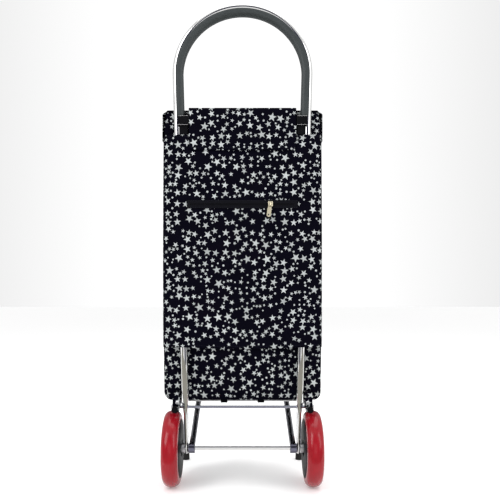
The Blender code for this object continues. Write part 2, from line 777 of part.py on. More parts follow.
def make_sleeve():
    """Outer back panel; the legs run between it and the back wall."""
    out, skin = BAG_HALF_W, CLOTH
    outline = [
        (-out, BACK_Y - GAP),
        (-out, SLEEVE_Y),
        (out, SLEEVE_Y),
        (out, BACK_Y - GAP),
        (out - skin, BACK_Y - GAP),
        (out - skin, SLEEVE_Y + skin),
        (-out + skin, SLEEVE_Y + skin),
        (-out + skin, BACK_Y - GAP),
    ]
    height = SLEEVE_TOP_Z - SLEEVE_HEM_Z
    flat_shape("sleeve_panel", outline, height, "star_cloth", at=(0, 0, SLEEVE_HEM_Z + height / 2))


def make_rear_flap():
    """Fixed flap between the legs, sewn to the lid's rear edge and hanging over the sleeve."""
    lower, upper = REAR_FLAP_Z, LID_TOP_Z
    outer, inner = REAR_FLAP_Y, REAR_FLAP_Y + FLAP_CLOTH
    front = LID_HINGE_Y - GAP
    outline = [(outer, lower), (inner, lower), (inner, upper - FLAP_CLOTH), (front, upper - FLAP_CLOTH),
               (front, upper), (outer, upper)]
    turn = (math.pi / 2, 0.0, math.pi / 2)
    flat_shape("rear_flap", outline, 2 * REAR_FLAP_HALF_W, "star_cloth", turn)


def make_corner_strap(side, sign):
    """Tab from the bag's lower corner that loops round the rail and is closed by a press stud."""
    x = sign * RAIL_X
    inner = RAIL_R + GAP
    outer = inner + STRAP_CLOTH
    middle = -STRAP_PLANE
    loop = ring_profile(outer, inner, -STRAP_W / 2, STRAP_W / 2)
    made = turned(f"corner_strap_{side}", loop, (x, middle, RAIL_Z), "star_cloth", 28, "Y")
    low = RAIL_Z + outer - STRAP_CLOTH * 0.6
    neck_x = sign * (RAIL_X - 0.0030)
    neck = box(
        f"strap_neck_{side}",
        (neck_x - STRAP_W / 2, middle - STRAP_W / 2, low),
        (neck_x + STRAP_W / 2, BACK_Y - GAP, low + STRAP_CLOTH),
    )
    cut(made, neck, join=True)
    tab = box(
        f"strap_tab_{side}",
        (neck_x - STRAP_W / 2, BACK_Y - GAP - STRAP_CLOTH, low),
        (neck_x + STRAP_W / 2, BACK_Y - GAP, low + STRAP_LAP),
    )
    cut(made, tab, join=True)
    face = middle - STRAP_W / 2
    lip = box(
        f"strap_lip_{side}",
        (neck_x - STRAP_W / 2, face, low),
        (neck_x + STRAP_W / 2, face + STRAP_CLOTH, low + 0.0088),
    )
    cut(made, lip, join=True)
    stud = [
        (0.0, GAP + SNAP_H),
        (SNAP_R * 0.6, GAP + SNAP_H * 0.9),
        (SNAP_R, GAP + SNAP_H * 0.3),
        (SNAP_R, GAP),
        (0.0, GAP),
    ]
    made = turned(f"snap_stud_{side}", stud, (neck_x, face, low + 0.0048), "zinc", 18, "Y", False)
    made.rotation_euler = (math.pi / 2, 0.0, 0.0)


def make_zip():
    face = SLEEVE_Y - GAP
    low = ZIP_Z - ZIP_W / 2
    box("zip_tape", (-ZIP_HALF_L, face - ZIP_TAPE, low), (ZIP_HALF_L, face, low + ZIP_W), "black_tape")
    near = face - ZIP_TAPE - GAP
    far = near - SLIDER_H
    slider = box(
        "zip_slider",
        (SLIDER_X - SLIDER_W / 2, far, ZIP_Z - SLIDER_L / 2),
        (SLIDER_X + SLIDER_W / 2, near, ZIP_Z + SLIDER_L / 2),
        "zip_metal",
        0.0009,
    )
    bridge = [
        (SLIDER_X, far + 0.0010, ZIP_Z + BRIDGE_HALF),
        (SLIDER_X, far - BRIDGE_OUT + 0.0008, ZIP_Z + BRIDGE_HALF),
        (SLIDER_X, far - BRIDGE_OUT, ZIP_Z + BRIDGE_HALF - 0.0008),
        (SLIDER_X, far - BRIDGE_OUT, ZIP_Z - BRIDGE_HALF + 0.0008),
        (SLIDER_X, far - BRIDGE_OUT + 0.0008, ZIP_Z - BRIDGE_HALF),
        (SLIDER_X, far + 0.0010, ZIP_Z - BRIDGE_HALF),
    ]
    loop = as_mesh(rod("zip_bridge", bridge, BRIDGE_R, "zip_metal"), "zip_metal")
    PARTS.objects.unlink(loop)
    CUTTERS.objects.link(loop)
    loop.hide_render = True
    loop.display_type = "WIRE"
    cut(slider, loop, join=True)
    make_pull(far)


def make_pull(far):
    """Flat pull that hangs from the slider's bridge and leans a little sideways."""
    axis_y = far - GAP - PULL_H / 2
    axis_z = ZIP_Z + BRIDGE_HALF - BRIDGE_R - 0.0012
    bar_half = 0.0006
    half_top, half_low = PULL_TOP_W / 2, PULL_W / 2
    outline = [
        (-half_top + 0.001, bar_half),
        (-half_top, bar_half - 0.001),
        (-half_top, -0.0100),
        (-half_low, -0.0130),
        *arc((0.0, bar_half - PULL_L + half_low), half_low, 180, 360, 8),
        (half_low, -0.0130),
        (half_top, -0.0100),
        (half_top, bar_half - 0.001),
        (half_top - 0.001, bar_half),
    ]
    turn = (math.pi / 2, math.radians(PULL_TILT), 0.0)
    pull = flat_shape("zip_pull", outline, PULL_H, "zip_metal", turn, (SLIDER_X, axis_y, axis_z))
    lean = math.radians(PULL_TILT)
    window = box("pull_window", (-0.0024, -0.01, -0.0084), (0.0024, 0.01, -bar_half))
    window.location = (SLIDER_X - math.sin(lean) * 0.00465, axis_y, axis_z - math.cos(lean) * 0.00465)
    window.rotation_euler = (0.0, lean, 0.0)
    cut(pull, window)
    reach = PULL_L - 0.0052
    eye = (SLIDER_X - math.sin(lean) * reach, axis_z - math.cos(lean) * reach)
    cut(pull, bar("pull_eye", (eye[0], axis_y - 0.01, eye[1]), (eye[0], axis_y + 0.01, eye[1]), PULL_EYE_R))


# ---- lid ----

def make_lid():
    front_edge = LID_FRONT_Y - (LID_SIDE_X - LID_HALF_W)
    side_end = front_edge - LID_SEAM
    box(
        "lid_top",
        (-LID_HALF_W + LID_SEAM, LID_HINGE_Y, LID_TOP_Z - LID_CLOTH),
        (LID_HALF_W - LID_SEAM, side_end, LID_TOP_Z),
        "star_cloth",
        0.0008,
    )
    for side, sign in SIDES:
        path = [(sign * (LID_HALF_W + GAP), LID_TOP_Z), (sign * LID_SIDE_X, LID_SHOULDER_Z),
                (sign * LID_SIDE_X, LID_SIDE_Z)]
        flap = strip(f"lid_side_{side}", path, side_end - LID_HINGE_Y, FLAP_CLOTH, "star_cloth", "Y", -sign)
        flap.location = (0.0, (side_end + LID_HINGE_Y) / 2, 0.0)
    path = [(front_edge + GAP, LID_TOP_Z), (LID_FRONT_Y, LID_SHOULDER_Z), (LID_FRONT_Y, LID_FRONT_Z)]
    strip("lid_front", path, 2 * LID_HALF_W, FLAP_CLOTH, "star_cloth", "X", 1.0)
    low = TAPE_Z - TAPE_W / 2
    loop_y = FRONT_Y + GAP
    box("loop_tape", (-TAPE_HALF_L, loop_y, low), (TAPE_HALF_L, loop_y + TAPE_H, low + TAPE_W), "black_tape")
    hook_y = LID_FRONT_Y - FLAP_CLOTH - GAP
    box("hook_tape", (-TAPE_HALF_L, hook_y - TAPE_H, low), (TAPE_HALF_L, hook_y, low + TAPE_W), "black_tape")


def build():
    make_handle()
    make_grip()
    make_axle()
    make_cross_rods()
    for side, sign in SIDES:
        make_hanger(side, sign)
        make_wheel(side, sign)
        make_rail(side, sign)
        make_base_clip(side, sign)
        make_stay(side, sign)
        make_corner_strap(side, sign)
    make_bag_walls()
    make_sleeve()
    make_rear_flap()
    make_zip()
    make_lid()
    bpy.context.view_layer.update()


build()
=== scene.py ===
"""Finishes for a two-wheeled shopping trolley: sewn bag, chromed tubes, red tyres and the studio."""
import math

import bmesh
import bpy
from bpy.props import FloatProperty, FloatVectorProperty, PointerProperty
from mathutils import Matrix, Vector, noise


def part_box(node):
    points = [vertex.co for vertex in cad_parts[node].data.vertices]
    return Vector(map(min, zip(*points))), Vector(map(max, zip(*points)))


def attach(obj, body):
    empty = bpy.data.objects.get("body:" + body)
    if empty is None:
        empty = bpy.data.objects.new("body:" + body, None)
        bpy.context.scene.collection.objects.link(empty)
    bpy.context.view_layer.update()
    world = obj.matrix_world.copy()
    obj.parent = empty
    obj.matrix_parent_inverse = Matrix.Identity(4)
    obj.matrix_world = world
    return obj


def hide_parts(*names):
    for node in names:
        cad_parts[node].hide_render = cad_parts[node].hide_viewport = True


bl_info = {
    "name": "Shopping Trolley",
    "version": (1, 0, 0),
    "blender": (4, 5, 0),
    "location": "View3D > Sidebar > Trolley",
    "description": "Builds the cloth, chrome, wheels and studio of a shopping trolley",
    "category": "Object",
}

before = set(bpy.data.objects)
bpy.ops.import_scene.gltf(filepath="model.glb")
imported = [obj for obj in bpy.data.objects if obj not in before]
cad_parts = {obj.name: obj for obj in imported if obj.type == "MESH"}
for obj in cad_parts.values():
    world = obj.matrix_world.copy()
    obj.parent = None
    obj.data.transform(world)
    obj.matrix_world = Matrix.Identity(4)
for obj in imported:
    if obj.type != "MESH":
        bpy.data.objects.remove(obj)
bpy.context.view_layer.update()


# ---- sizes read from the frame ----

def low(node):
    """The least corner of a frame piece's box."""
    return Vector(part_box(node)[0])


def high(node):
    """The greatest corner of a frame piece's box."""
    return Vector(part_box(node)[1])


def middle(node):
    return (low(node) + high(node)) / 2


SIDES = (("left", -1), ("right", 1))
REARWARD = Vector((0, -1, 0))
LEG_PLANE = middle("axle").y                     # the handle and the axle share this plane
TUBE_R = 0.0075
ARCH_R = high("handle_tube").x - TUBE_R
ARCH_Z = high("handle_tube").z - ARCH_R - TUBE_R
LEG_FOOT_X = 0.1152
LEG_FOOT_Z = low("handle_tube").z
FLAT_TOP_Z = 0.172
FLAT_Z = 0.150
FLAT_HALF_X = 0.0036
FLAT_HALF_Y = (high("handle_tube").y - low("handle_tube").y) / 2
GRIP_END_Z = low("handle_grip").z
GRIP_HALF_Y = (high("handle_grip").y - low("handle_grip").y) / 2
GRIP_LEG = 0.0152
GRIP_TOP = 0.0182
RAIL_Z = middle("cross_rod").z
RAIL_R = 0.0060
RAIL_BEND_R = 0.0300
WHEEL_R = (high("tyre_left").z - low("tyre_left").z) / 2
WHEEL_X = middle("tyre_right").x
TYRE_HALF_W = (high("tyre_left").x - low("tyre_left").x) / 2
BEAD_R = 0.0590
BEAD_STEP = 0.0012                               # the tyre stands this far over its bead
TYRE_SHOULDER = 0.62                             # below 1 makes the tyre's shoulders fuller
LIP_R = 0.0011
BAG_X = high("bag_back").x
BAG_BACK = low("bag_back").y
BAG_FRONT = high("bag_front").y
BAG_Z = low("bag_bottom").z
BAG_TOP = high("bag_front").z
SLEEVE_BACK = low("sleeve_panel").y
SLEEVE_TOP = high("sleeve_panel").z
SLEEVE_HEM = low("sleeve_panel").z
SLEEVE_SAG = 0.0034
ZIP_Z = middle("zip_tape").z
LID_Z = high("lid_top").z
LID_REAR = low("lid_top").y
LID_FACE = LID_Z - 0.0003
LID_EXTRA = 0.0034                               # the cloth lid is cut a little wider than its board
LID_CORNER_R = 0.0130


def leg_x(z):
    """Half distance between the legs' centre lines at a height."""
    return LEG_FOOT_X + (z - LEG_FOOT_Z) / (ARCH_Z - LEG_FOOT_Z) * (ARCH_R - LEG_FOOT_X)


def smooth_step(start, end, value):
    share = min(1.0, max(0.0, (value - start) / (end - start)))
    return share * share * (3 - 2 * share)


def ripple(x, y, z, size):
    """Smooth even noise between about -1 and 1, one wave to each size."""
    return noise.noise(Vector((x, y, z)) / size)


# ---- shader maths ----

class Value:
    """A number socket that can be added, multiplied and compared like a number."""

    def __init__(self, shader, socket):
        self.shader, self.socket = shader, socket

    def maths(self, operation, other=0.0, third=0.0):
        return self.shader.node("ShaderNodeMath", {"operation": operation}, {0: self, 1: other, 2: third})

    def __add__(self, other):
        return self.maths("ADD", other)

    def __sub__(self, other):
        return self.maths("SUBTRACT", other)

    def __rsub__(self, other):
        return self.shader.node("ShaderNodeMath", {"operation": "SUBTRACT"}, {0: other, 1: self})

    def __mul__(self, other):
        return self.maths("MULTIPLY", other)

    def __truediv__(self, other):
        return self.maths("DIVIDE", other)

    def __lt__(self, other):
        return self.maths("LESS_THAN", other)

    def __gt__(self, other):
        return self.maths("GREATER_THAN", other)

    __radd__ = __add__
    __rmul__ = __mul__

    def sine(self):
        return self.maths("SINE")

    def size(self):
        return self.maths("ABSOLUTE")

    def at_most(self, other):
        return self.maths("MINIMUM", other)

    def at_least(self, other):
        return self.maths("MAXIMUM", other)

    def between(self, start, end):
        return self.shader.node("ShaderNodeMapRange", {"interpolation_type": "SMOOTHSTEP"},
                                {"Value": self, "From Min": start, "From Max": end})


class Shader:
    """A node tree written as expressions on its sockets."""

    def __init__(self, made):
        self.made = made
        self.made.use_nodes = True
        self.tree = made.node_tree

    def put(self, target, value):
        if isinstance(value, Value):
            self.tree.links.new(value.socket, target)
        elif isinstance(value, bpy.types.NodeSocket):
            self.tree.links.new(value, target)
        else:
            target.default_value = value

    def node(self, kind, settings=None, inputs=None, output=0):
        made = self.tree.nodes.new(kind)
        for name, value in (settings or {}).items():
            setattr(made, name, value)
        for key, value in (inputs or {}).items():
            self.put(made.inputs[key], value)
        if output is None:
            return made
        return Value(self, made.outputs[output])

    def parts(self, vector):
        split = self.node("ShaderNodeSeparateXYZ", None, {0: vector}, None)
        return [Value(self, socket) for socket in split.outputs]

    def mix(self, factor, first, second):
        made = self.tree.nodes.new("ShaderNodeMix")
        made.data_type = "RGBA"
        for key, value in ((0, factor), (6, first), (7, second)):
            self.put(made.inputs[key], value)
        return made.outputs[2]


class Finish(Shader):
    """One material."""

    def __init__(self, name, colour, rough, metal=0.0, **constants):
        super().__init__(bpy.data.materials.new(name))
        self.surface = self.tree.nodes["Principled BSDF"]
        self.surface.inputs["Base Color"].default_value = (*colour, 1.0)
        self.surface.inputs["Roughness"].default_value = rough
        self.surface.inputs["Metallic"].default_value = metal
        for socket, value in constants.items():
            self.surface.inputs[socket.replace("_", " ")].default_value = value

    def colour(self, value):
        self.put(self.surface.inputs["Base Color"], value)

    def rough(self, value):
        self.put(self.surface.inputs["Roughness"], value)

    def bump(self, height, distance, strength=1.0):
        made = self.tree.nodes.new("ShaderNodeBump")
        made.inputs["Strength"].default_value = strength
        made.inputs["Distance"].default_value = distance
        self.put(made.inputs["Height"], height)
        self.tree.links.new(made.outputs[0], self.surface.inputs["Normal"])

    def place(self):
        return self.node("ShaderNodeTexCoord", None, None, None).outputs["Object"]

    def noise(self, scale, detail=2.0, vector=None):
        vector = vector or self.place()
        return self.node("ShaderNodeTexNoise", None, {"Vector": vector, "Scale": scale, "Detail": detail})


STAR_PITCH = 0.0198          # one star to each cell of this size
DOT_PITCH = 0.0118
BIG_STAR = 0.0102            # centre to point
SMALL_STAR = 0.0050
STAR_NOTCH = 0.40            # inner corners' radius as a share of the points'
THREAD = 0.00075             # pitch of the cloth's weave
RIB = 0.0011                 # pitch of the woven tape's ribs


def shade(colour, share):
    """A colour made darker or lighter by a share, as a shader colour."""
    return (*[c * share for c in colour], 1.0)


def star_mask(finish, place, centre, size, lean):
    """1 inside a five-pointed star about centre; also gives the distance from it."""
    away = finish.node("ShaderNodeVectorMath", {"operation": "SUBTRACT"}, {0: place, 1: centre})
    across, up, _ = finish.parts(away)
    radius = (across * across + up * up).maths("SQRT")
    fifth = math.tau / 5
    turn = finish.node("ShaderNodeMath", {"operation": "ARCTAN2"}, {0: across, 1: up})
    folded = (turn + lean * fifth + 2 * fifth + math.pi).maths("PINGPONG", fifth / 2)
    notch_x, notch_y = STAR_NOTCH * math.cos(fifth / 2), STAR_NOTCH * math.sin(fifth / 2)
    along = radius / size * folded.maths("COSINE")
    aside = radius / size * folded.maths("SINE")
    edge = (1.0 - along) * notch_y - aside * (1.0 - notch_x)
    return edge.between(-0.010, 0.020), radius


def star_cloth(name, ground, print_colour):
    """Plain woven cloth printed with stars of many sizes and small dots."""
    finish = Finish(name, ground, 0.88, Specular_IOR_Level=0.02)
    flat = finish.node("ShaderNodeUVMap", {"uv_map": "cloth"})

    def cells(pitch, vector, shift=0.0):
        """Each cell's centre, its random numbers, and how much room there is about the centre."""
        step = (shift, shift * 0.7, 0.0)
        moved = finish.node("ShaderNodeVectorMath", {"operation": "ADD"}, {0: vector, 1: step})
        inputs = {"Vector": moved, "Scale": 1.0 / pitch, "Randomness": 0.74}
        flat_cells = {"voronoi_dimensions": "2D"}
        made = finish.node("ShaderNodeTexVoronoi", {**flat_cells, "feature": "F1"}, inputs, None)
        room = finish.node("ShaderNodeTexVoronoi", {**flat_cells, "feature": "N_SPHERE_RADIUS"}, inputs,
                           "Radius")
        centre = finish.node("ShaderNodeVectorMath", {"operation": "SUBTRACT"},
                             {0: made.outputs["Position"], 1: step})
        return centre, made.outputs["Color"], room * pitch

    def star_size(random, room):
        pick, lean, bright = finish.parts(random)
        return (SMALL_STAR + (BIG_STAR - SMALL_STAR) * pick).at_most(room * 1.20), lean, bright

    centre, random, room = cells(STAR_PITCH, flat)
    size, lean, bright = star_size(random, room)
    stars, _ = star_mask(finish, flat, centre, size, lean)
    # small stars and dots fill the ground between the big ones
    spot, chance, spot_room = cells(DOT_PITCH, flat, 3.3)
    near, near_random, near_room = cells(STAR_PITCH, spot)
    near_size, _, _ = star_size(near_random, near_room)
    gap = finish.node("ShaderNodeVectorMath", {"operation": "DISTANCE"}, {0: spot, 1: near}, "Value")
    free = gap - near_size * 0.93
    kind, spot_lean, dot_pick = finish.parts(chance)
    small, radius = star_mask(finish, flat, spot, free.at_most(0.0044).at_least(0.001), spot_lean)
    dot_size = 0.0016 + 0.0007 * dot_pick
    dot = 1.0 - (radius / dot_size).between(0.86, 1.06)
    dot = dot * (free > 0.0024) * (spot_room > 0.0022)
    starred = (kind < 0.30) * (free > 0.0036) * (spot_room > 0.0036)
    printed = stars.at_least(starred * small + (1.0 - starred) * dot * (kind < 0.80))
    across, up, _ = finish.parts(flat)
    weave = (across * (math.tau / THREAD)).sine() * (up * (math.tau / THREAD)).sine()
    worn = finish.noise(38.0, 3.0)
    dark = finish.mix(worn, shade(ground, 0.75), shade(ground, 1.3))
    faded = worn * 0.5 + bright * 0.5
    pale = finish.mix(faded, shade(print_colour, 0.66), shade(print_colour, 1.34))
    finish.colour(finish.mix(printed, dark, pale))
    finish.rough(0.90 - 0.15 * printed)
    finish.bump(weave * 0.5 + printed * 0.6 + worn * 1.5, 0.00012, 0.55)
    return finish.made


def chrome(name, colour, rough):
    """Polished metal with faint smears."""
    finish = Finish(name, colour, rough, 1.0)
    smear = finish.noise(55.0, 4.0)
    finish.rough(rough + smear * 0.03)
    finish.bump(finish.noise(900.0, 1.0), 0.00001, 0.3)
    return finish.made


def brushed(name, colour, rough):
    """Dull plated metal."""
    finish = Finish(name, colour, rough, 1.0)
    grain = finish.noise(700.0, 3.0)
    finish.rough(rough - 0.08 + grain * 0.2)
    finish.bump(grain, 0.00002, 0.4)
    return finish.made


def moulded(name, colour, rough, grain=1400.0, depth=0.00003, **constants):
    """Plastic, rubber or thread: fine pores and a little dust."""
    finish = Finish(name, colour, rough, **constants)
    pores = finish.noise(grain, 2.0)
    dust = finish.noise(60.0, 3.0)
    finish.colour(finish.mix(dust, shade(colour, 0.85), shade(colour, 1.2)))
    finish.rough(rough - 0.05 + dust * 0.12)
    finish.bump(pores, depth, 0.5)
    return finish.made


def woven_tape(name, colour):
    """Dark tape with a fine crossed rib, its grooves painted darker and its crests lighter as painted shade.
    """
    finish = Finish(name, colour, 0.8, Specular_IOR_Level=0.05)
    x, _, z = finish.parts(finish.place())
    rib = (x * (math.tau / RIB)).sine() * (z * (math.tau / RIB)).sine()
    # painted shade: the colour follows the rib, darker in its grooves and lighter on its crests
    finish.colour(finish.mix(rib * 0.5 + 0.5, shade(colour, 0.6), shade(colour, 1.5)))
    finish.bump(rib, 0.00008, 0.6)
    return finish.made


def materials():
    look = bpy.context.scene.trolley_looks
    ground, pale = tuple(look.cloth_colour), tuple(look.print_colour)
    return {
        "star_cloth": star_cloth("star_cloth", ground, pale),
        "chrome": chrome("bright_chrome", (0.74, 0.74, 0.73), 0.02),
        # painted shade and painted reflection: a darker copy of the chrome for the tubes low under the bag,
        # its dark colour standing in for the shade there and the dark things they reflect
        "dark_chrome": chrome("dark_chrome", (0.20, 0.20, 0.22), 0.10),
        # painted reflection and painted shade: a darker, bluish copy of the chrome for the cross rod
        "reflection_painted_chrome": chrome("reflection_painted_chrome", (0.36, 0.37, 0.44), 0.06),
        "knuckle": chrome("black_nickel", (0.13, 0.13, 0.17), 0.06),
        "zinc": brushed("zinc_plate", (0.63, 0.63, 0.65), 0.32),
        "zip_metal": brushed("pale_brass", (0.66, 0.60, 0.44), 0.26),
        "grip": moulded("grip_rubber", tuple(look.grip_colour), 0.52, 1800.0, 0.00005),
        "tyre": moulded("red_tyre", tuple(look.tyre_colour), 0.24, 500.0, 0.00001, Coat_Weight=0.14,
                        Coat_Roughness=0.04, Specular_IOR_Level=0.25),
        "black_plastic": moulded("black_plastic", (0.004, 0.004, 0.005), 0.42, Specular_IOR_Level=0.03),
        "black_rubber": moulded("black_rubber", (0.012, 0.012, 0.012), 0.72, 900.0, 0.00006,
                                Specular_IOR_Level=0.2),
        "black_tape": woven_tape("black_tape", (0.004, 0.004, 0.006)),
        "board": moulded("base_board", (0.10, 0.09, 0.08), 0.8, 400.0, 0.0001),
        "thread": moulded("dark_thread", (0.012, 0.012, 0.020), 0.8, 3000.0, 0.00002,
                          Specular_IOR_Level=0.05),
    }


LOOKS = {}


def finish_of(name):
    if not LOOKS:
        LOOKS.update(materials())
    return LOOKS[name]


# ---- shape helpers ----

def piece(name, data, finish, body="frame", stands_for=()):
    """Link data as one piece, give it its finish, and let it ride on a body."""
    made = bpy.data.objects.new(name, data)
    bpy.context.scene.collection.objects.link(made)
    data.materials.append(finish_of(finish))
    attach(made, body)
    if stands_for:
        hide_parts(*stands_for)
    return made


def mesh_from(name, work):
    """Turn a bmesh into a mesh with its faces looking outwards."""
    bmesh.ops.recalc_face_normals(work, faces=work.faces)
    data = bpy.data.meshes.new(name)
    work.to_mesh(data)
    work.free()
    return data


def weld(data):
    """Join the first and the last row of a mesh that closes on itself."""
    work = bmesh.new()
    work.from_mesh(data)
    bmesh.ops.remove_doubles(work, verts=work.verts, dist=0.000001)
    bmesh.ops.recalc_face_normals(work, faces=work.faces)
    work.to_mesh(data)
    work.free()


def grid_mesh(name, rows, flats=None, closed=False, caps=False):
    """Quads between rows of points; flats are the same rows as places on the flat cloth."""
    work = bmesh.new()
    made = [[work.verts.new(point) for point in row] for row in rows]
    count = len(rows[0])
    uv = work.loops.layers.uv.new("cloth")
    last = count if closed else count - 1
    for r in range(len(rows) - 1):
        for c in range(last):
            corners = ((r, c), (r, c + 1), (r + 1, c + 1), (r + 1, c))
            face = work.faces.new([made[i][j % count] for i, j in corners])
            face.smooth = True
            if flats:
                for loop, (i, j) in zip(face.loops, corners):
                    loop[uv].uv = flats[i][j] if j < len(flats[i]) else flats[i][j % count]
    if caps:
        for row, turned in ((made[0], True), (made[-1], False)):
            work.faces.new(list(reversed(row)) if turned else row)
    return mesh_from(name, work)


def measured(rows, start=(0.0, 0.0)):
    """Flat places of each point, measured along its row and down the first column."""
    flats = []
    down = start[1]
    for k, row in enumerate(rows):
        if k:
            middle_column = len(row) // 2
            down -= (Vector(row[middle_column]) - Vector(rows[k - 1][middle_column])).length
        along = [0.0]
        for first, second in zip(row, row[1:]):
            along.append(along[-1] + (Vector(second) - Vector(first)).length)
        centre = along[-1] / 2
        flats.append([(start[0] + a - centre, down) for a in along])
    return flats


def thicken(made, thickness, offset=-1.0):
    skin = made.modifiers.new("cloth", "SOLIDIFY")
    skin.thickness = thickness
    skin.offset = offset
    skin.use_even_offset = False
    return skin


def tube_mesh(name, points, section, caps=True, up=Vector((0, 1, 0)), closed=False):
    """Sweep a section along points; section(k) gives (inward, sideways) pairs around the path."""
    rows = []
    count = len(points)
    for k, point in enumerate(points):
        before = points[(k - 1) % count] if closed else points[max(k - 1, 0)]
        after = points[(k + 1) % count] if closed else points[min(k + 1, count - 1)]
        along = (after - before).normalized()
        side = up - along * up.dot(along)
        side.normalize()
        inward = side.cross(along)
        rows.append([point + inward * u + side * v for u, v in section(k)])
    if closed:
        rows.append(rows[0])
    data = grid_mesh(name, rows, closed=True, caps=caps and not closed)
    if closed:
        weld(data)
    return data


def ring(radius_u, radius_v=None, count=24):
    radius_v = radius_v or radius_u
    turns = [math.tau * k / count for k in range(count)]
    return [(radius_u * math.cos(t), radius_v * math.sin(t)) for t in turns]


def rod(name, points, radius, finish, body="frame", stands_for=(), up=Vector((0, 1, 0)), count=20,
        closed=False):
    points = [Vector(point) for point in points]
    data = tube_mesh(name, points, lambda k: ring(radius, count=count), up=up, closed=closed)
    data.set_sharp_from_angle(angle=math.radians(50))
    return piece(name, data, finish, body, stands_for)


def turned_mesh(name, profile, centre, steps=96):
    """Turn a closed (radius, along X) profile about the X axis."""
    rows = []
    for k in range(steps):
        turn = math.tau * k / steps
        rows.append([centre + Vector((a, r * math.cos(turn), r * math.sin(turn))) for r, a in profile])
    rows.append(rows[0])
    data = grid_mesh(name, rows, closed=True)
    weld(data)
    data.set_sharp_from_angle(angle=math.radians(35))
    return data


def arc(centre, radius, start, end, steps):
    turns = [math.radians(start + (end - start) * k / steps) for k in range(steps + 1)]
    return [(centre[0] + radius * math.cos(t), centre[1] + radius * math.sin(t)) for t in turns]


# ---- settings ----

class TrolleyLooks(bpy.types.PropertyGroup):
    cloth_colour: FloatVectorProperty(name="Cloth", description="Ground colour of the printed cloth",
                                      subtype="COLOR", size=3, default=(0.0018, 0.0016, 0.0044), min=0, max=1)
    print_colour: FloatVectorProperty(name="Print", description="Colour of the printed stars",
                                      subtype="COLOR", size=3, default=(0.35, 0.37, 0.37), min=0, max=1)
    tyre_colour: FloatVectorProperty(name="Tyres", description="Colour of the tyres",
                                     subtype="COLOR", size=3, default=(0.25, 0.003, 0.009), min=0, max=1)
    grip_colour: FloatVectorProperty(name="Grip", description="Colour of the handle's grip",
                                     subtype="COLOR", size=3, default=(0.021, 0.027, 0.028), min=0, max=1)
    cloth_thickness: FloatProperty(name="Cloth thickness", description="Thickness of the sewn cloth",
                                   subtype="DISTANCE", unit="LENGTH", default=0.0011, min=0.0004, max=0.003)
    stitch_pitch: FloatProperty(name="Stitch pitch", description="Distance from one stitch to the next",
                                subtype="DISTANCE", unit="LENGTH", default=0.0046, min=0.002, max=0.01)
    pucker: FloatProperty(name="Pucker", description="Depth of the waves along the seams",
                          subtype="DISTANCE", unit="LENGTH", default=0.0010, min=0.0, max=0.004)


# ---- handle ----

def handle_path():
    """Centre line from the left leg's foot over the arch to the right leg's foot."""
    leg = []
    steps = 40
    for k in range(steps):
        z = LEG_FOOT_Z + (ARCH_Z - LEG_FOOT_Z) * k / steps
        leg.append(Vector((-leg_x(z), LEG_PLANE, z)))
    top = [Vector((x, LEG_PLANE, z)) for x, z in arc((0.0, ARCH_Z), ARCH_R, 180, 0, 64)]
    return leg + top + [Vector((-p.x, p.y, p.z)) for p in reversed(leg)]


def build_handle():
    path = handle_path()

    def section(k):
        flat = 1.0 - smooth_step(FLAT_Z, FLAT_TOP_Z, path[k].z)
        return ring(TUBE_R + (FLAT_HALF_X - TUBE_R) * flat, TUBE_R + (FLAT_HALF_Y - TUBE_R) * flat, 28)

    data = tube_mesh("handle_chrome", path, section)
    piece("handle_chrome", data, "chrome", stands_for=("handle_tube",))
    build_grip()


def build_grip():
    """A soft strip that lines the inside of the arch and the tops of the legs."""
    path = []
    steps = 14
    for k in range(steps):
        z = GRIP_END_Z + (ARCH_Z - GRIP_END_Z) * k / steps
        path.append(Vector((-leg_x(z), LEG_PLANE, z)))
    path += [Vector((x, LEG_PLANE, z)) for x, z in arc((0.0, ARCH_Z), ARCH_R, 180, 0, 72)]
    path += [Vector((-p.x, p.y, p.z)) for p in reversed(path[:steps])]
    flare = [0.90, 0.98]
    hug = TUBE_R + 0.0004

    def section(k):
        point = path[k]
        raised = max(0.0, point.z - ARCH_Z) / ARCH_R
        depth = GRIP_LEG + (GRIP_TOP - GRIP_LEG) * raised
        ends = min(k, len(path) - 1 - k)
        share = flare[ends] if ends < len(flare) else 1.0
        half = GRIP_HALF_Y * share
        inner = depth * (0.5 + share / 2)
        lip = -0.0012 + 0.0056 * raised
        wrap = math.acos(lip / hug)
        back = [(hug * math.cos(t), hug * math.sin(t)) for t in (wrap * (1 - i / 5) for i in range(11))]
        front = [(lip, half * 0.97), (lip + 0.0022, half), (inner * 0.55, half), (inner * 0.84, half * 0.86),
                 (inner * 0.97, half * 0.52)]
        return back + [(u, -v) for u, v in front] + [(inner, 0.0)] + list(reversed(front))

    data = tube_mesh("grip_strip", path, section)
    data.set_sharp_from_angle(angle=math.radians(48))
    piece("grip_strip", data, "grip", stands_for=("handle_grip",))


def build_hanger_highlight_lines():
    """Painted highlights: thin bright zinc lines along the top and bottom edges of the black brackets that
    join the bag's top edge to the legs, standing in for the light their edges catch.
    """
    for side, _ in SIDES:
        lo, hi = low(f"hanger_{side}"), high(f"hanger_{side}")
        reach = (hi.x - lo.x) / 2 - 0.0005
        centre = (lo.x + hi.x) / 2
        for name, z in (("top", hi.z - 0.0003), ("bottom", hi.z - 0.0183)):
            points = [(centre - reach + 2 * reach * k / 20, lo.y - 0.00005, z) for k in range(21)]
            # painted highlight: a bright zinc rod where the black plastic edge only catches light
            rod(f"hanger_rim_{name}_{side}", points, 0.00045, "zinc", up=Vector((0, 0, 1)), count=8)


# ---- wheels ----

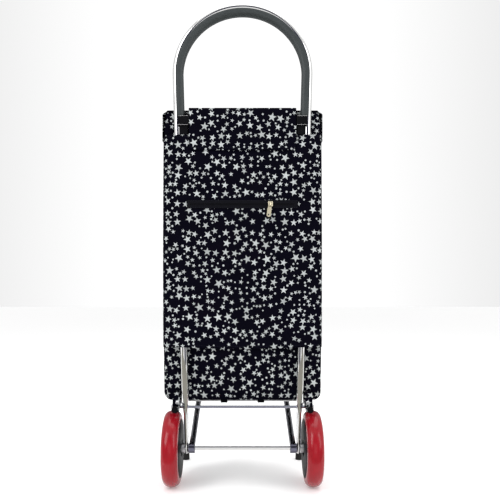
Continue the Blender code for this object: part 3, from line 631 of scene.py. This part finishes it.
def build_wheels():
    """A round-shouldered tyre and two rim lips on each side."""
    tyre = [(BEAD_R, -TYRE_HALF_W + 0.0016)]
    for k in range(19):
        turn = math.radians(-90 + 180 * k / 18)
        radius = BEAD_R + BEAD_STEP + (WHEEL_R - BEAD_R - BEAD_STEP) * abs(math.cos(turn)) ** TYRE_SHOULDER
        tyre.append((radius, TYRE_HALF_W * math.sin(turn)))
    tyre.append((BEAD_R, TYRE_HALF_W - 0.0016))
    for side, sign in SIDES:
        body = f"wheel_{side}"
        centre = Vector((sign * WHEEL_X, LEG_PLANE, middle(f"tyre_{side}").z))
        data = turned_mesh(f"tyre_skin_{side}", tyre, centre, 112)
        piece(f"tyre_skin_{side}", data, "tyre", body, (f"tyre_{side}",))
        for face, out in (("inner", -sign), ("outer", sign)):
            middle_x = (TYRE_HALF_W - 0.0006) * out
            profile = [(BEAD_R - 0.0004 + LIP_R * math.cos(t), middle_x + LIP_R * math.sin(t))
                       for t in (math.tau * k / 10 for k in range(10))]
            profile.append(profile[0])
            bead = turned_mesh(f"rim_lip_{side}_{face}", profile, centre, 96)
            piece(f"rim_lip_{side}_{face}", bead, "black_plastic", body)


def build_wheel_dishes():
    """A shallow closed disc covers the side of each wheel that faces the legs."""
    for side, sign in SIDES:
        centre = Vector((sign * WHEEL_X, LEG_PLANE, middle(f"tyre_{side}").z))
        face = TYRE_HALF_W - 0.0008
        shown = [(BEAD_R - 0.0004, face - 0.0012), (BEAD_R - 0.0012, face + 0.0004),
                 (BEAD_R - 0.0040, face + 0.0012), (BEAD_R - 0.0120, face + 0.0020), (0.0300, face + 0.0027),
                 (0.0190, face + 0.0030), (0.0170, face + 0.0024)]
        hidden = [(0.0168, face + 0.0008), (0.0190, face + 0.0006), (0.0300, face + 0.0002),
                  (BEAD_R - 0.0130, face - 0.0008), (BEAD_R - 0.0040, face - 0.0016)]
        profile = [(r, -a * sign) for r, a in shown + hidden]
        profile.append(profile[0])
        data = turned_mesh(f"wheel_dish_{side}", profile, centre, 96)
        piece(f"wheel_dish_{side}", data, "black_plastic", f"wheel_{side}")


def dress(node, finish, edge=0.0, angle=32):
    """Give a frame piece its finish and, where asked, small rounded edges."""
    shown = bpy.data.objects[node]
    shown.data.materials.clear()
    shown.data.materials.append(finish_of(finish))
    shown.data.set_sharp_from_angle(angle=math.radians(angle))
    for face in shown.data.polygons:
        face.use_smooth = True
    if edge:
        bevel = shown.modifiers.new("edges", "BEVEL")
        bevel.width = edge
        bevel.segments = 2
        bevel.limit_method = "ANGLE"
        bevel.angle_limit = math.radians(40)


def build_small_parts():
    """Finishes for the fittings that keep the frame's own shape."""
    for side, _ in SIDES:
        # the wheel bushes take the darker chrome, whose colour is painted shade and painted reflection
        for name, finish, edge in (
                ("wheel_hub", "black_plastic", 0.0008), ("wheel_bush", "dark_chrome", 0.0002),
                ("axle_cap", "black_plastic", 0.0008), ("axle_washer", "zinc", 0.0002),
                ("rail_plug", "black_plastic", 0.0006), ("rail_nut", "zinc", 0.0003),
                ("foot", "black_rubber", 0.0012), ("base_clip", "black_plastic", 0.0005),
                ("stay_knuckle", "knuckle", 0.0003), ("stay_eye", "knuckle", 0.0003),
                ("hanger", "black_plastic", 0.0008), ("hanger_screw", "zinc", 0.0003),
                ("snap_stud", "zinc", 0.0003)):
            dress(f"{name}_{side}", finish, edge)
    dress("axle", "chrome", 0.0003)
    dress("base_board", "board", 0.0006)
    dress("zip_slider", "zip_metal", 0.0004)
    dress("zip_pull", "zip_metal", 0.0003)


def build_base():
    """Rails, rods and stays drawn round and smooth."""
    for side, _ in SIDES:
        lo, hi = low(f"base_rail_{side}"), high(f"base_rail_{side}")
        x = middle(f"foot_{side}").x
        front = hi.y - RAIL_R
        bend = (front - RAIL_BEND_R, RAIL_Z - RAIL_BEND_R)
        points = [Vector((x, lo.y, RAIL_Z)), Vector((x, bend[0] - 0.06, RAIL_Z))]
        points += [Vector((x, y, z)) for y, z in arc(bend, RAIL_BEND_R, 90, 0, 16)]
        points += [Vector((x, front, lo.z))]
        # the rails take the darker chrome: painted shade and painted reflection in their colour
        rod(f"rail_chrome_{side}", points, RAIL_R, "dark_chrome", stands_for=(f"base_rail_{side}",),
            up=Vector((1, 0, 0)))
        lo, hi = low(f"stay_{side}"), high(f"stay_{side}")
        x = middle(f"stay_{side}").x
        radius = (hi.x - lo.x) / 2
        start, end = middle("axle"), middle("front_rod")
        along = (Vector((x, end.y, end.z)) - Vector((x, start.y, start.z))).normalized()
        reach_y = (hi.y - lo.y) / 2 - radius * abs(along.z)
        centre = Vector((x, (lo.y + hi.y) / 2, (lo.z + hi.z) / 2))
        span = along * (reach_y / along.y)
        # the stays take the darker chrome: painted shade and painted reflection in their colour
        rod(f"stay_chrome_{side}", [centre - span, centre + span], radius, "dark_chrome",
            stands_for=(f"stay_{side}",), up=Vector((1, 0, 0)))
    # the cross rod's darker, bluish chrome is painted reflection and painted shade
    # the front rod's darker chrome is painted shade and painted reflection
    for node, finish in (("cross_rod", "reflection_painted_chrome"), ("front_rod", "dark_chrome"),
                         ("base_wire_rear", "zinc"), ("base_wire_front", "zinc")):
        lo, hi = low(node), high(node)
        centre = (lo + hi) / 2
        rod(f"{node}_shaft", [(lo.x, centre.y, centre.z), (hi.x, centre.y, centre.z)], (hi.z - lo.z) / 2,
            finish, stands_for=(node,))


# ---- sewn cloth ----

def thickness():
    return bpy.context.scene.trolley_looks.cloth_thickness


def cloth(name, rows, flats, body, stands_for, closed=False, offset=-1.0, skin=None):
    data = grid_mesh(name, rows, flats, closed=closed)
    made = piece(name, data, "star_cloth", body, stands_for)
    thicken(made, skin or thickness(), offset)
    return made


# along the stitch, its width and its height, each as a share
STITCH_SHAPE = ((-0.5, 0.45, 0.05), (-0.28, 1.0, 0.85), (0.28, 1.0, 0.85), (0.5, 0.45, 0.05))


def stitches(name, points, normal, body="frame", lift=0.0003, length=0.0029, wide=0.0006, finish="thread"):
    """A row of small raised stitches along a polyline; normal(point) looks out of the cloth."""
    pitch = bpy.context.scene.trolley_looks.stitch_pitch
    points = [Vector(p) for p in points]
    work = bmesh.new()
    gone, due = 0.0, pitch / 2
    for first, second in zip(points, points[1:]):
        step = (second - first).length
        while step > 0 and due <= gone + step:
            spot = first.lerp(second, (due - gone) / step)
            along = (second - first).normalized()
            out = normal(spot).normalized()
            side = along.cross(out)
            ends = []
            for share, size, rise in STITCH_SHAPE:
                centre = spot + along * (share * length) + out * (lift * (rise - 0.4))
                ends.append([work.verts.new(centre + side * (wide / 2 * size * u) + out * (lift * v * size))
                             for u, v in ((-1, -0.4), (-0.7, 0.7), (0.7, 0.7), (1, -0.4))])
            for near, far in zip(ends, ends[1:]):
                for k in range(4):
                    face = work.faces.new([near[k], near[(k + 1) % 4], far[(k + 1) % 4], far[k]])
                    face.smooth = True
            work.faces.new(ends[0])
            work.faces.new(list(reversed(ends[-1])))
            due += pitch
        gone += step
    return piece(name, mesh_from(name, work), finish, body)


CORNER_R = 0.0150            # front corners
REAR_CORNER_R = 0.0070
SHELL_CLEAR = 0.0006
BOTTOM_EDGE_R = 0.0180       # rounding of the bag's lower edge


def fullness(z):
    """How far a filled bag swells at a height, from 0 at its ends to 1 half way up."""
    return math.sin(math.pi * min(1.0, max(0.0, (z - BAG_Z) / (BAG_TOP - BAG_Z)))) ** 0.7


def shell_outline(z):
    """Points around the bag at a height, from its rear left corner through the front."""
    look = bpy.context.scene.trolley_looks
    full = fullness(z)
    up = min(1.0, (z - BAG_Z) / BOTTOM_EDGE_R)
    tuck = 0.0145 * (1.0 - math.sqrt(max(0.0, 1.0 - (1.0 - up) ** 2)))
    half = BAG_X + 0.0012 + 0.0018 * full - tuck
    back = BAG_BACK + SHELL_CLEAR + tuck * 0.4
    front = BAG_FRONT - 0.0010 + 0.0020 * full - tuck
    radius, rear = CORNER_R, REAR_CORNER_R

    def wave(x, y):
        return look.pucker * (ripple(x, y, z * 0.6, 0.055) + 0.5 * ripple(x + 9, y, z, 0.022))

    points = []
    corners = ((-half + rear, back + rear, rear, 270, 180), (-half + radius, front - radius, radius, 180, 90),
               (half - radius, front - radius, radius, 90, 0), (half - rear, back + rear, rear, 0, -90))
    sides = ((-1, 0), (0, 1), (1, 0), (0, -1))
    spans = (34, 46, 34, 0)
    for index, (normal, span) in enumerate(zip(sides, spans)):
        cx, cy, bend, start, end = corners[index]
        points += arc((cx, cy), bend, start, end, 6)
        if span:
            x0, y0 = points[-1]
            cx, cy, bend, start, end = corners[index + 1]
            x1, y1 = arc((cx, cy), bend, start, end, 6)[0]
            for k in range(1, span):
                share = k / span
                puff = 0.0016 * full * math.sin(math.pi * share)
                x = x0 + (x1 - x0) * share + normal[0] * (puff + wave(x0, y0 + share))
                y = y0 + (y1 - y0) * share + normal[1] * (puff + wave(x0 + share, y0))
                points.append((x, y))
    x0, y0 = points[-1]
    x1, y1 = points[0]
    low_down = 1.0 - smooth_step(SLEEVE_HEM + 0.004, SLEEVE_HEM + 0.060, z)
    for k in range(1, 62):
        share = k / 62
        x = x0 + (x1 - x0) * share
        inside = smooth_step(1.0, 0.55, abs(x) / (leg_x(z) - 0.0085))
        pillow = 0.0085 * inside * low_down * smooth_step(BAG_Z, BAG_Z + 0.030, z)
        groove = 0.0030 * math.exp(-((abs(x) - leg_x(z) + 0.012) / 0.011) ** 2) * low_down
        groove *= smooth_step(BAG_Z + 0.012, BAG_Z + 0.045, z)
        points.append((x, y0 + (y1 - y0) * share - pillow + groove + 0.3 * wave(x, y0)))
    return [Vector((x, y, z)) for x, y in points]


def build_bag():
    """The bag's body: one wrap of cloth with a floor of its own, open at the top."""
    start = BAG_Z + 0.0004
    heights = [start + BOTTOM_EDGE_R * (1 - math.cos(math.radians(a))) for a in (12, 26, 42, 60, 78, 90)]
    edge = start + BOTTOM_EDGE_R
    heights += [edge + (BAG_TOP - edge) * k / 72 for k in range(1, 73)]
    rows = [shell_outline(z) for z in reversed(heights)]
    flats = []
    for row in rows:
        along = [0.0]
        for first, second in zip(row, row[1:]):
            along.append(along[-1] + (second - first).length)
        closing = along[-1] + (row[0] - row[-1]).length
        flats.append([(a * 1.06 / closing, row[0].z) for a in along + [closing]])
    floor_rows = []
    base = rows[-1]
    centre = Vector((0.0, (BAG_BACK + BAG_FRONT) / 2, BAG_Z + 0.0003))
    for share in (0.97, 0.85, 0.6, 0.3, 0.04):
        floor_rows.append([Vector((centre.x + (p.x - centre.x) * share, centre.y + (p.y - centre.y) * share,
                                   centre.z)) for p in base])
    floor_flats = [[(p.x, p.y - 0.3) for p in row] + [(row[0].x, row[0].y - 0.3)] for row in floor_rows]
    made = cloth("bag_shell", rows + floor_rows, flats + floor_flats, "frame",
                 ("bag_back", "bag_front", "bag_side_left", "bag_side_right", "bag_bottom"), closed=True)
    for face in made.data.polygons:
        face.use_smooth = True
    build_back_wall()
    for side, sign in SIDES:
        points = []
        for k in range(40):
            z = BAG_Z + 0.020 + (BAG_TOP - 0.045 - BAG_Z - 0.020) * k / 39
            full = fullness(z)
            points.append((sign * (BAG_X - 0.0052 + 0.0030 * full), BAG_FRONT - 0.0050 + 0.0020 * full, z))
        rod(f"bag_piping_front_{side}", points, 0.0013, "black_tape", up=Vector((1, 0, 0)), count=10)


def build_back_wall():
    """The back wall stands higher than the rest of the bag and carries the lid."""
    top = LID_Z - 0.0042
    drop = top - BAG_TOP + 0.006
    rows = []
    for r in range(17):
        z = top - drop * r / 16
        half = high("lid_top").x + LID_EXTRA - 0.0012 + 0.0085 * smooth_step(0.0005, 0.0085, LID_Z - z)
        half = min(half, BAG_X + 0.0006)
        row = []
        for c in range(65):
            x = -half + 2 * half * c / 64
            past = max(0.0, (abs(x) - half + 0.0075) / 0.0076)
            bend = 0.0075 * (1 - math.sqrt(max(0.0, 1 - past ** 2)))
            row.append(Vector((x, BAG_BACK + 0.0031 + bend, z)))
        rows.append(row)
    data = grid_mesh("back_wall_rise", rows, measured(rows, (3.4, 0.2)))
    made = piece("back_wall_rise", data, "star_cloth")
    thicken(made, 0.0009, 0.0)


def sleeve_edge(z):
    """Where the rear panel meets the bag's side at a height."""
    return BAG_X + 0.0014 + 0.0018 * fullness(z)


def sleeve_point(x, z):
    """Outer face of the rear panel, which is drawn over the two legs."""
    look = bpy.context.scene.trolley_looks
    leg = leg_x(z)
    edge = sleeve_edge(z)
    away = abs(x)
    over = SLEEVE_BACK + 0.0008
    if away <= leg:
        share = away / leg
        hollow = 0.0030 * (1 - share ** 2) * (1.0 - smooth_step(0.030, 0.012, abs(z - ZIP_Z)) * 0.75)
        hollow *= 0.6 + 0.4 * math.sin(math.pi * (z - SLEEVE_HEM) / (SLEEVE_TOP - SLEEVE_HEM))
        y = over + hollow - 0.0007 * math.exp(-((away - leg) / 0.006) ** 2)
        calm = smooth_step(0.008, 0.020, abs(z - ZIP_Z))
        y += look.pucker * 0.8 * calm * (ripple(x, 3.0, z, 0.060) + 0.45 * ripple(x, 7.0, z, 0.024))
        y = max(y, over - 0.0009)
        return Vector((x, y, z))
    share = min(1.0, (away - leg) / (edge - leg))
    drop = 0.0166
    y = over - 0.0007 * math.exp(-((away - leg) / 0.006) ** 2)
    y += drop * (1 - math.sqrt(max(0.0, 1 - share ** 3.2)))
    y += look.pucker * 0.6 * ripple(x, 5.0, z, 0.045) * (1 - share)
    return Vector((x, y, z))


def hem_sag(x, depth):
    """How far a hem hangs down between the legs."""
    return depth * (1 - min(1.0, abs(x) / 0.125) ** 2)


def sleeve_rows(top, bottom, count, sag):
    """Rows of points down the rear panel, closer together towards its sides."""
    rows = []
    for r in range(count + 1):
        share = r / count
        base = top + (bottom - top) * share
        edge = sleeve_edge(base)
        row = []
        for c in range(97):
            t = -1 + 2 * c / 96
            x = edge * (math.sin(t * math.pi / 2) * 0.35 + t * 0.65)
            row.append(sleeve_point(x, base - hem_sag(x, sag) * share ** 3))
        rows.append(row)
    return rows


def build_sleeve():
    """The rear panel with the zip: a flat sleeve around the legs, with a turned hem."""
    rows = sleeve_rows(SLEEVE_TOP, SLEEVE_HEM, 84, SLEEVE_SAG)
    flats = measured(rows, (0.4, SLEEVE_TOP))
    made = cloth("rear_panel", rows, flats, "frame", ("sleeve_panel",), offset=-1.0)
    face_out(made, REARWARD)
    reach = BAG_X - 0.004
    places = [-reach + 2 * reach * c / 120 for c in range(121)]
    for name, z, sag in (("hem_stitch", SLEEVE_HEM + 0.0050, SLEEVE_SAG),
                         ("top_stitch", SLEEVE_TOP - 0.0040, 0.0)):
        line = [sleeve_point(x, z - hem_sag(x, sag)) for x in places]
        stitches(name, line, lambda p: REARWARD)


def face_out(made, outward):
    """Turn the mesh over where its faces look inwards on average."""
    total = Vector((0, 0, 0))
    for face in made.data.polygons:
        total += face.normal * face.area
    if total.dot(outward) < 0:
        made.data.flip_normals()


# the straps leave the bag's corner, then turn down behind it
STRAP_START = ((0.0004, 0.0006), (0.0040, 0.0010), (0.0100, 0.0032))
STRAP_FALL = ((0.0068, 0.0075), (0.0030, 0.0120), (0.0013, 0.0175), (0.0008, 0.0240), (0.0007, 0.0310))


def build_straps():
    """Short cloth straps that wrap the bag's lower corners and snap behind the rails."""
    for side, sign in SIDES:
        lo, hi = low(f"corner_strap_{side}"), high(f"corner_strap_{side}")
        profile = [(hi.y - away, hi.z - drop) for away, drop in STRAP_START]
        profile += [(lo.y + out, hi.z - drop) for out, drop in STRAP_FALL]
        profile += [(lo.y + 0.0007, lo.z + 0.0030), (lo.y + 0.0008, lo.z + 0.0002)]
        count = 12
        rows = []
        for k, (y, z) in enumerate(profile):
            share = k / (len(profile) - 1)
            narrow = 0.0008 * math.sin(math.pi * share) + (0.0022 if k == len(profile) - 1 else 0.0)
            rows.append([Vector((lo.x + narrow + (hi.x - lo.x - 2 * narrow) * c / count,
                                 y + 0.0004 * math.sin(math.pi * c / count) * share, z))
                         for c in range(count + 1)])
        made = cloth(f"strap_{side}", rows, measured(rows, (0.7 + 0.2 * sign, 0.1)), "frame",
                     (f"corner_strap_{side}",), skin=0.0010)
        face_out(made, Vector((0, -1, 0.5)))


def build_rear_flap():
    """The lid's rear flap hangs between the hangers and covers the panel's top edge."""
    lo, hi = low("rear_flap"), high("rear_flap")
    profile = [(hi.y - 0.0002, hi.z - 0.0004), (hi.y - 0.0080, hi.z), (lo.y + 0.0075, hi.z - 0.0002),
               (lo.y + 0.0034, hi.z - 0.0012), (lo.y + 0.0013, hi.z - 0.0036), (lo.y + 0.0005, hi.z - 0.0075)]
    count = 26
    bend_z = hi.z - 0.0075
    profile += [(lo.y + 0.0004, bend_z - (bend_z - lo.z) * k / count) for k in range(1, count + 1)]
    rows = []
    look = bpy.context.scene.trolley_looks
    for k, (y, z) in enumerate(profile):
        share = max(0.0, (k - 5) / (len(profile) - 6))
        row = []
        for c in range(57):
            t = -1 + 2 * c / 56
            x = (hi.x - 0.0004 - 0.0008 * share) * t
            corner = 0.0050 * max(0.0, (abs(t) - 0.93) / 0.07) ** 2 * share ** 8
            swing = look.pucker * 0.55 * share * (ripple(x, 11.0, z, 0.050))
            drop = hem_sag(x, 0.0008) * share ** 3
            row.append(Vector((x, y + 0.0007 * share + abs(swing), z + corner - drop)))
        rows.append(row)
    made = cloth("rear_flap_cloth", rows, measured(rows, (1.3, 0.5)), "frame", ("rear_flap",), skin=0.0009)
    face_out(made, Vector((0, -1, 0.3)))
    line = [p + Vector((0.0, -0.0001, 0.0042)) for p in rows[-1]]
    stitches("flap_hem_stitch", line, lambda p: REARWARD)


def lid_size():
    """Half width and front edge of the cloth lid."""
    return high("lid_top").x + LID_EXTRA, high("lid_top").y + LID_EXTRA


def lid_edge():
    """The lid top's outline: hinge left, front left corner, front right corner, hinge right."""
    half, front = lid_size()
    radius = LID_CORNER_R
    points = [(-half, LID_REAR + (front - radius - LID_REAR) * k / 26, -1, 0) for k in range(26)]
    for x, y in arc((-half + radius, front - radius), radius, 180, 90, 7):
        points.append((x, y, (x + half - radius) / radius, (y - front + radius) / radius))
    points += [(-half + radius + (2 * half - 2 * radius) * k / 40, front, 0, 1) for k in range(1, 40)]
    for x, y in arc((half - radius, front - radius), radius, 90, 0, 7):
        points.append((x, y, (x - half + radius) / radius, (y - front + radius) / radius))
    points += [(half, front - radius + (LID_REAR - front + radius) * k / 26, 1, 0) for k in range(1, 27)]
    return points


def build_lid():
    """The lid's cloth in two parts: its top, then the skirt with its piping and stitched hem."""
    build_lid_top()
    build_lid_skirt()


def build_lid_top():
    """The lid's flat cloth, stretched over its board with a slight dip."""
    half, front = lid_size()
    radius = LID_CORNER_R
    rows = []
    for r in range(41):
        y = LID_REAR + (front - LID_REAR) * (1 - (1 - r / 40) ** 1.15)
        reach = half
        if y > front - radius:
            reach = half - radius + math.sqrt(max(0.0, radius ** 2 - (y - front + radius) ** 2))
        row = []
        near_front = ((y - (LID_REAR + front) / 2) / ((front - LID_REAR) / 2)) ** 6 if y > 0 else 0
        for c in range(61):
            t = -1 + 2 * c / 60
            x = reach * t
            near = max(abs(t) ** 6, near_front)
            dip = 0.0013 * (1 - min(1.0, near)) * (0.6 + 0.8 * ripple(x, y, 1.0, 0.07))
            row.append(Vector((x, y, LID_FACE - max(0.0, dip))))
        rows.append(row)
    made = cloth("lid_cloth", rows, measured(rows, (2.1, 0.0)), "lid", ("lid_top",))
    face_out(made, Vector((0, 0, 1)))


def build_lid_skirt():
    """Cloth that hangs from the lid's sides and, deeper, from its front edge."""
    look = bpy.context.scene.trolley_looks
    half, front = lid_size()
    top_z = LID_FACE
    outline = lid_edge()
    side_out = high("lid_side_right").x + 0.0010 - half
    front_out = high("lid_front").y - front
    side_low, front_low = low("lid_side_right").z, low("lid_front").z
    skirt = []
    count = 26
    for r in range(count + 1):
        share = r / count
        row = []
        for x, y, nx, ny in outline:
            depth = side_low + (front_low - side_low) * smooth_step(0.15, 0.85, abs(ny))
            z = top_z - 0.0004 - (top_z - depth) * share
            fall = top_z - z
            spread = smooth_step(0.0005, 0.0085, fall)
            out = (side_out * abs(nx) + front_out * abs(ny)) * (0.05 + 0.93 * spread)
            out += look.pucker * 0.7 * share * ripple(x * 1.3, y * 1.3, z, 0.045)
            row.append(Vector((x + nx * out, y + ny * out, z)))
        skirt.append(row)
    made = cloth("lid_skirt", skirt, measured(skirt, (2.9, 0.0)), "lid",
                 ("lid_front", "lid_side_left", "lid_side_right"))
    face_out_each(made)
    points = [Vector((x, y, top_z - 0.0010)) for x, y, _, _ in outline]
    points[0].y = points[-1].y = LID_REAR + 0.0030
    points += [Vector((half - 0.0030 - (2 * half - 0.0060) * k / 24, LID_REAR + 0.0019, top_z - 0.0010))
               for k in range(25)]
    rod("lid_piping", points, 0.0016, "black_tape", "lid", up=Vector((0, 0, 1)), count=10, closed=True)
    hem = [Vector((p.x, p.y, p.z + 0.0048)) for p in skirt[-1]]
    normals = [Vector((nx, ny, 0.15)) for _, _, nx, ny in outline]

    def nearest_normal(point):
        return min(zip(hem, normals), key=lambda pair: (pair[0] - point).length)[1]

    stitches("lid_hem_stitch", hem, nearest_normal, "lid")


def face_out_each(made):
    """Turn the mesh over where its faces look towards the lid's middle."""
    centre = Vector((0.0, (LID_REAR + high("lid_top").y) / 2, 0.0))
    total = 0.0
    for face in made.data.polygons:
        outward = Vector((face.center.x, face.center.y, 0.0)) - centre
        total += face.normal.dot(outward)
    if total < 0:
        made.data.flip_normals()


# ---- zip ----

TOOTH_CORNERS = ((-0.5, 0.0, 0), (0.5, 0.0, 0), (0.5, 1.0, 0), (-0.5, 1.0, 0),
                 (-0.35, 0.05, 1), (0.35, 0.05, 1), (0.35, 0.9, 1), (-0.35, 0.9, 1))
TOOTH_FACES = ((4, 5, 6, 7), (0, 1, 5, 4), (1, 2, 6, 5), (2, 3, 7, 6), (3, 0, 4, 7))


def build_zip():
    """A woven tape with two rows of teeth and a row of stitches along each edge."""
    lo, hi = low("zip_tape"), high("zip_tape")
    rows = []
    for r in range(13):
        t = -1 + 2 * r / 12
        z = ZIP_Z + (hi.z - lo.z) / 2 * t
        rise = 0.0003 * (1 - abs(t)) ** 2
        rows.append([Vector((lo.x + (hi.x - lo.x) * c / 76, hi.y - 0.0001 - rise, z)) for c in range(77)])
    data = grid_mesh("zip_cloth", rows)
    made = piece("zip_cloth", data, "black_tape", stands_for=("zip_tape",))
    thicken(made, 0.0004, 0.0)
    work = bmesh.new()
    pitch = 0.0019
    count = int((hi.x - lo.x - 0.012) / pitch)
    for k in range(count):
        x = lo.x + 0.006 + pitch * k
        for up in (-1, 1):
            shift = pitch / 2 if up > 0 else 0.0
            corners = [work.verts.new((x + shift + u * 0.0011, lo.y - 0.0001 - w * 0.00025,
                                       ZIP_Z + up * (v * 0.0021 - 0.0002))) for u, v, w in TOOTH_CORNERS]
            for loop in TOOTH_FACES:
                work.faces.new([corners[i] for i in loop])
    piece("zip_teeth", mesh_from("zip_teeth", work), "black_plastic")
    for name, z in (("zip_stitch_low", lo.z + 0.0016), ("zip_stitch_high", hi.z - 0.0016)):
        line = [Vector((lo.x + 0.002 + (hi.x - lo.x - 0.004) * c / 60, lo.y - 0.0002, z)) for c in range(61)]
        stitches(name, line, lambda p: REARWARD, lift=0.0002)


# ---- studio ----

CARD_AWAY = 3.0
CAMERA_AWAY = 1.2            # from the plane of the legs
CAMERA_HEIGHT = 0.380


def light(name, place, aim, size, power):
    """A soft rectangular light turned towards a point."""
    data = bpy.data.lights.new(name, "AREA")
    data.shape = "RECTANGLE"
    data.size, data.size_y = size
    data.energy = power
    made = bpy.data.objects.new(name, data)
    made.location = place
    made.rotation_euler = (Vector(aim) - Vector(place)).to_track_quat("-Z", "Y").to_euler()
    bpy.context.scene.collection.objects.link(made)


def glossy_only(name, rows, colour):
    """A dark card that only gives bright metal something to reflect."""
    card = bpy.data.objects.new(name, grid_mesh(name, rows))
    card.data.materials.append(Finish(name, colour, 0.9).made)
    bpy.context.scene.collection.objects.link(card)
    card.visible_camera = card.visible_diffuse = card.visible_shadow = False
    return card


def studio_card(side, start, end, bottom, top, colour):
    """A curved card about the object, between two angles and two heights."""
    turns = [math.radians(start + (end - start) * k / 16) for k in range(17)]
    rows = [[(CARD_AWAY * math.sin(t), -CARD_AWAY * math.cos(t), z) for t in turns] for z in (bottom, top)]
    return glossy_only(f"studio_card_{side}", rows, colour)


def floor_card():
    """Keeps the undersides of the tubes from looking white."""
    rows = [[(x, y, 0.001) for x in (-2.4, 0.0, 2.4)] for y in (-2.8, -1.2, -0.24)]
    return glossy_only("studio_card_floor", rows, (0.20, 0.19, 0.16))


def build_studio():
    """Pale floor and sky, soft lights, cards for the chrome, and the camera."""
    floor = bpy.data.meshes.new("studio_floor")
    floor.from_pydata([(-40, -40, 0), (40, -40, 0), (40, 40, 0), (-40, 40, 0)], [], [(0, 1, 2, 3)])
    ground = bpy.data.objects.new("studio_floor", floor)
    ground.location.z = -0.0004
    paper = Finish("studio_paper", (0.93, 0.93, 0.93), 0.9, Specular_IOR_Level=0.1,
                   Emission_Color=(1, 1, 1, 1), Emission_Strength=0.14)
    floor.materials.append(paper.made)
    bpy.context.scene.collection.objects.link(ground)
    world = bpy.data.worlds.new("studio")
    sky = Shader(world)
    x, y, _ = sky.parts(sky.node("ShaderNodeTexCoord", None, None, "Generated"))
    flat = x * x + y * y
    corner = 4.0 * x * x * y * y / (flat * flat).at_least(0.001)
    sky.put(sky.tree.nodes["Background"].inputs["Color"], 1.0 - 0.39 * corner.at_most(1.0))
    sky.put(sky.tree.nodes["Background"].inputs["Strength"], 1.10)
    bpy.context.scene.world = world
    bpy.context.scene.view_settings.view_transform = "Standard"
    cards = [studio_card("left", -13, -74, 0.002, 2.8, (0.10, 0.10, 0.12)),
             studio_card("right", 13, 74, 0.002, 2.8, (0.10, 0.10, 0.12)),
             studio_card("brow", -13, 13, 1.5, 4.2, (0.02, 0.02, 0.05)),
             studio_card("back", 150, 210, 0.002, 2.8, (0.22, 0.22, 0.24)), floor_card()]
    light("key", (-1.7, -1.9, 1.9), (0, 0, 0.40), (1.1, 2.0), 40)
    light("fill", (1.9, -1.6, 1.5), (0, 0, 0.40), (1.1, 2.0), 24)
    light("top", (0.2, 0.6, 3.0), (0, 0, 0.3), (2.5, 2.5), 40)
    data = bpy.data.cameras.new("view")
    data.sensor_width = 36.0
    data.lens = 41.8
    data.shift_x = 0.0150
    data.shift_y = 0.1030
    camera = bpy.data.objects.new("view", data)
    camera.location = (0.0, LEG_PLANE - CAMERA_AWAY, CAMERA_HEIGHT)
    camera.rotation_euler = (math.radians(90), 0, 0)
    bpy.context.scene.collection.objects.link(camera)
    bpy.context.scene.camera = camera


# ---- operators ----

class BuildHandle(bpy.types.Operator):
    """Chromed handle tube with its grip, and painted highlight lines on the brackets that carry the bag"""
    bl_idname = "trolley.build_handle"
    bl_label = "Handle"

    def execute(self, context):
        build_handle()
        build_hanger_highlight_lines()
        return {"FINISHED"}


class BuildWheels(bpy.types.Operator):
    """Red tyres on black spoked hubs"""
    bl_idname = "trolley.build_wheels"
    bl_label = "Wheels"

    def execute(self, context):
        build_wheels()
        build_wheel_dishes()
        return {"FINISHED"}


class BuildBase(bpy.types.Operator):
    """Rails, rods, stays and the small fittings"""
    bl_idname = "trolley.build_base"
    bl_label = "Base"

    def execute(self, context):
        build_base()
        build_small_parts()
        return {"FINISHED"}


class BuildBag(bpy.types.Operator):
    """Sewn bag with its rear panel, corner straps and rear flap"""
    bl_idname = "trolley.build_bag"
    bl_label = "Bag"

    def execute(self, context):
        build_bag()
        build_sleeve()
        build_straps()
        build_rear_flap()
        return {"FINISHED"}


class BuildLid(bpy.types.Operator):
    """Cloth lid with its skirt, piping and closing tapes"""
    bl_idname = "trolley.build_lid"
    bl_label = "Lid"

    def execute(self, context):
        build_lid()
        dress("hook_tape", "black_tape")
        dress("loop_tape", "black_tape")
        dress("top_hoop", "black_plastic")
        return {"FINISHED"}


class BuildZip(bpy.types.Operator):
    """Zip tape with its teeth and stitching"""
    bl_idname = "trolley.build_zip"
    bl_label = "Zip"

    def execute(self, context):
        build_zip()
        return {"FINISHED"}


class BuildStudio(bpy.types.Operator):
    """Pale floor, soft lights and the camera"""
    bl_idname = "trolley.build_studio"
    bl_label = "Studio"

    def execute(self, context):
        build_studio()
        return {"FINISHED"}


class TrolleyPanel(bpy.types.Panel):
    """Lists the trolley's pieces and their settings"""
    bl_idname = "VIEW3D_PT_trolley"
    bl_label = "Trolley"
    bl_space_type = "VIEW_3D"
    bl_region_type = "UI"
    bl_category = "Trolley"

    def draw(self, context):
        look = context.scene.trolley_looks
        for name in ("cloth_colour", "print_colour", "tyre_colour", "grip_colour", "cloth_thickness",
                     "stitch_pitch", "pucker"):
            self.layout.prop(look, name)
        for kind in PIECES:
            self.layout.operator(kind.bl_idname)


PIECES = (BuildHandle, BuildWheels, BuildBase, BuildBag, BuildLid, BuildZip, BuildStudio)
CLASSES = (TrolleyLooks, *PIECES, TrolleyPanel)


def register():
    for kind in CLASSES:
        bpy.utils.register_class(kind)
    bpy.types.Scene.trolley_looks = PointerProperty(type=TrolleyLooks)


def unregister():
    del bpy.types.Scene.trolley_looks
    for kind in reversed(CLASSES):
        bpy.utils.unregister_class(kind)


def main():
    register()
    bpy.ops.trolley.build_handle()
    bpy.ops.trolley.build_wheels()
    bpy.ops.trolley.build_base()
    bpy.ops.trolley.build_bag()
    bpy.ops.trolley.build_lid()
    bpy.ops.trolley.build_zip()
    bpy.ops.trolley.build_studio()


if __name__ == "__main__":
    main()
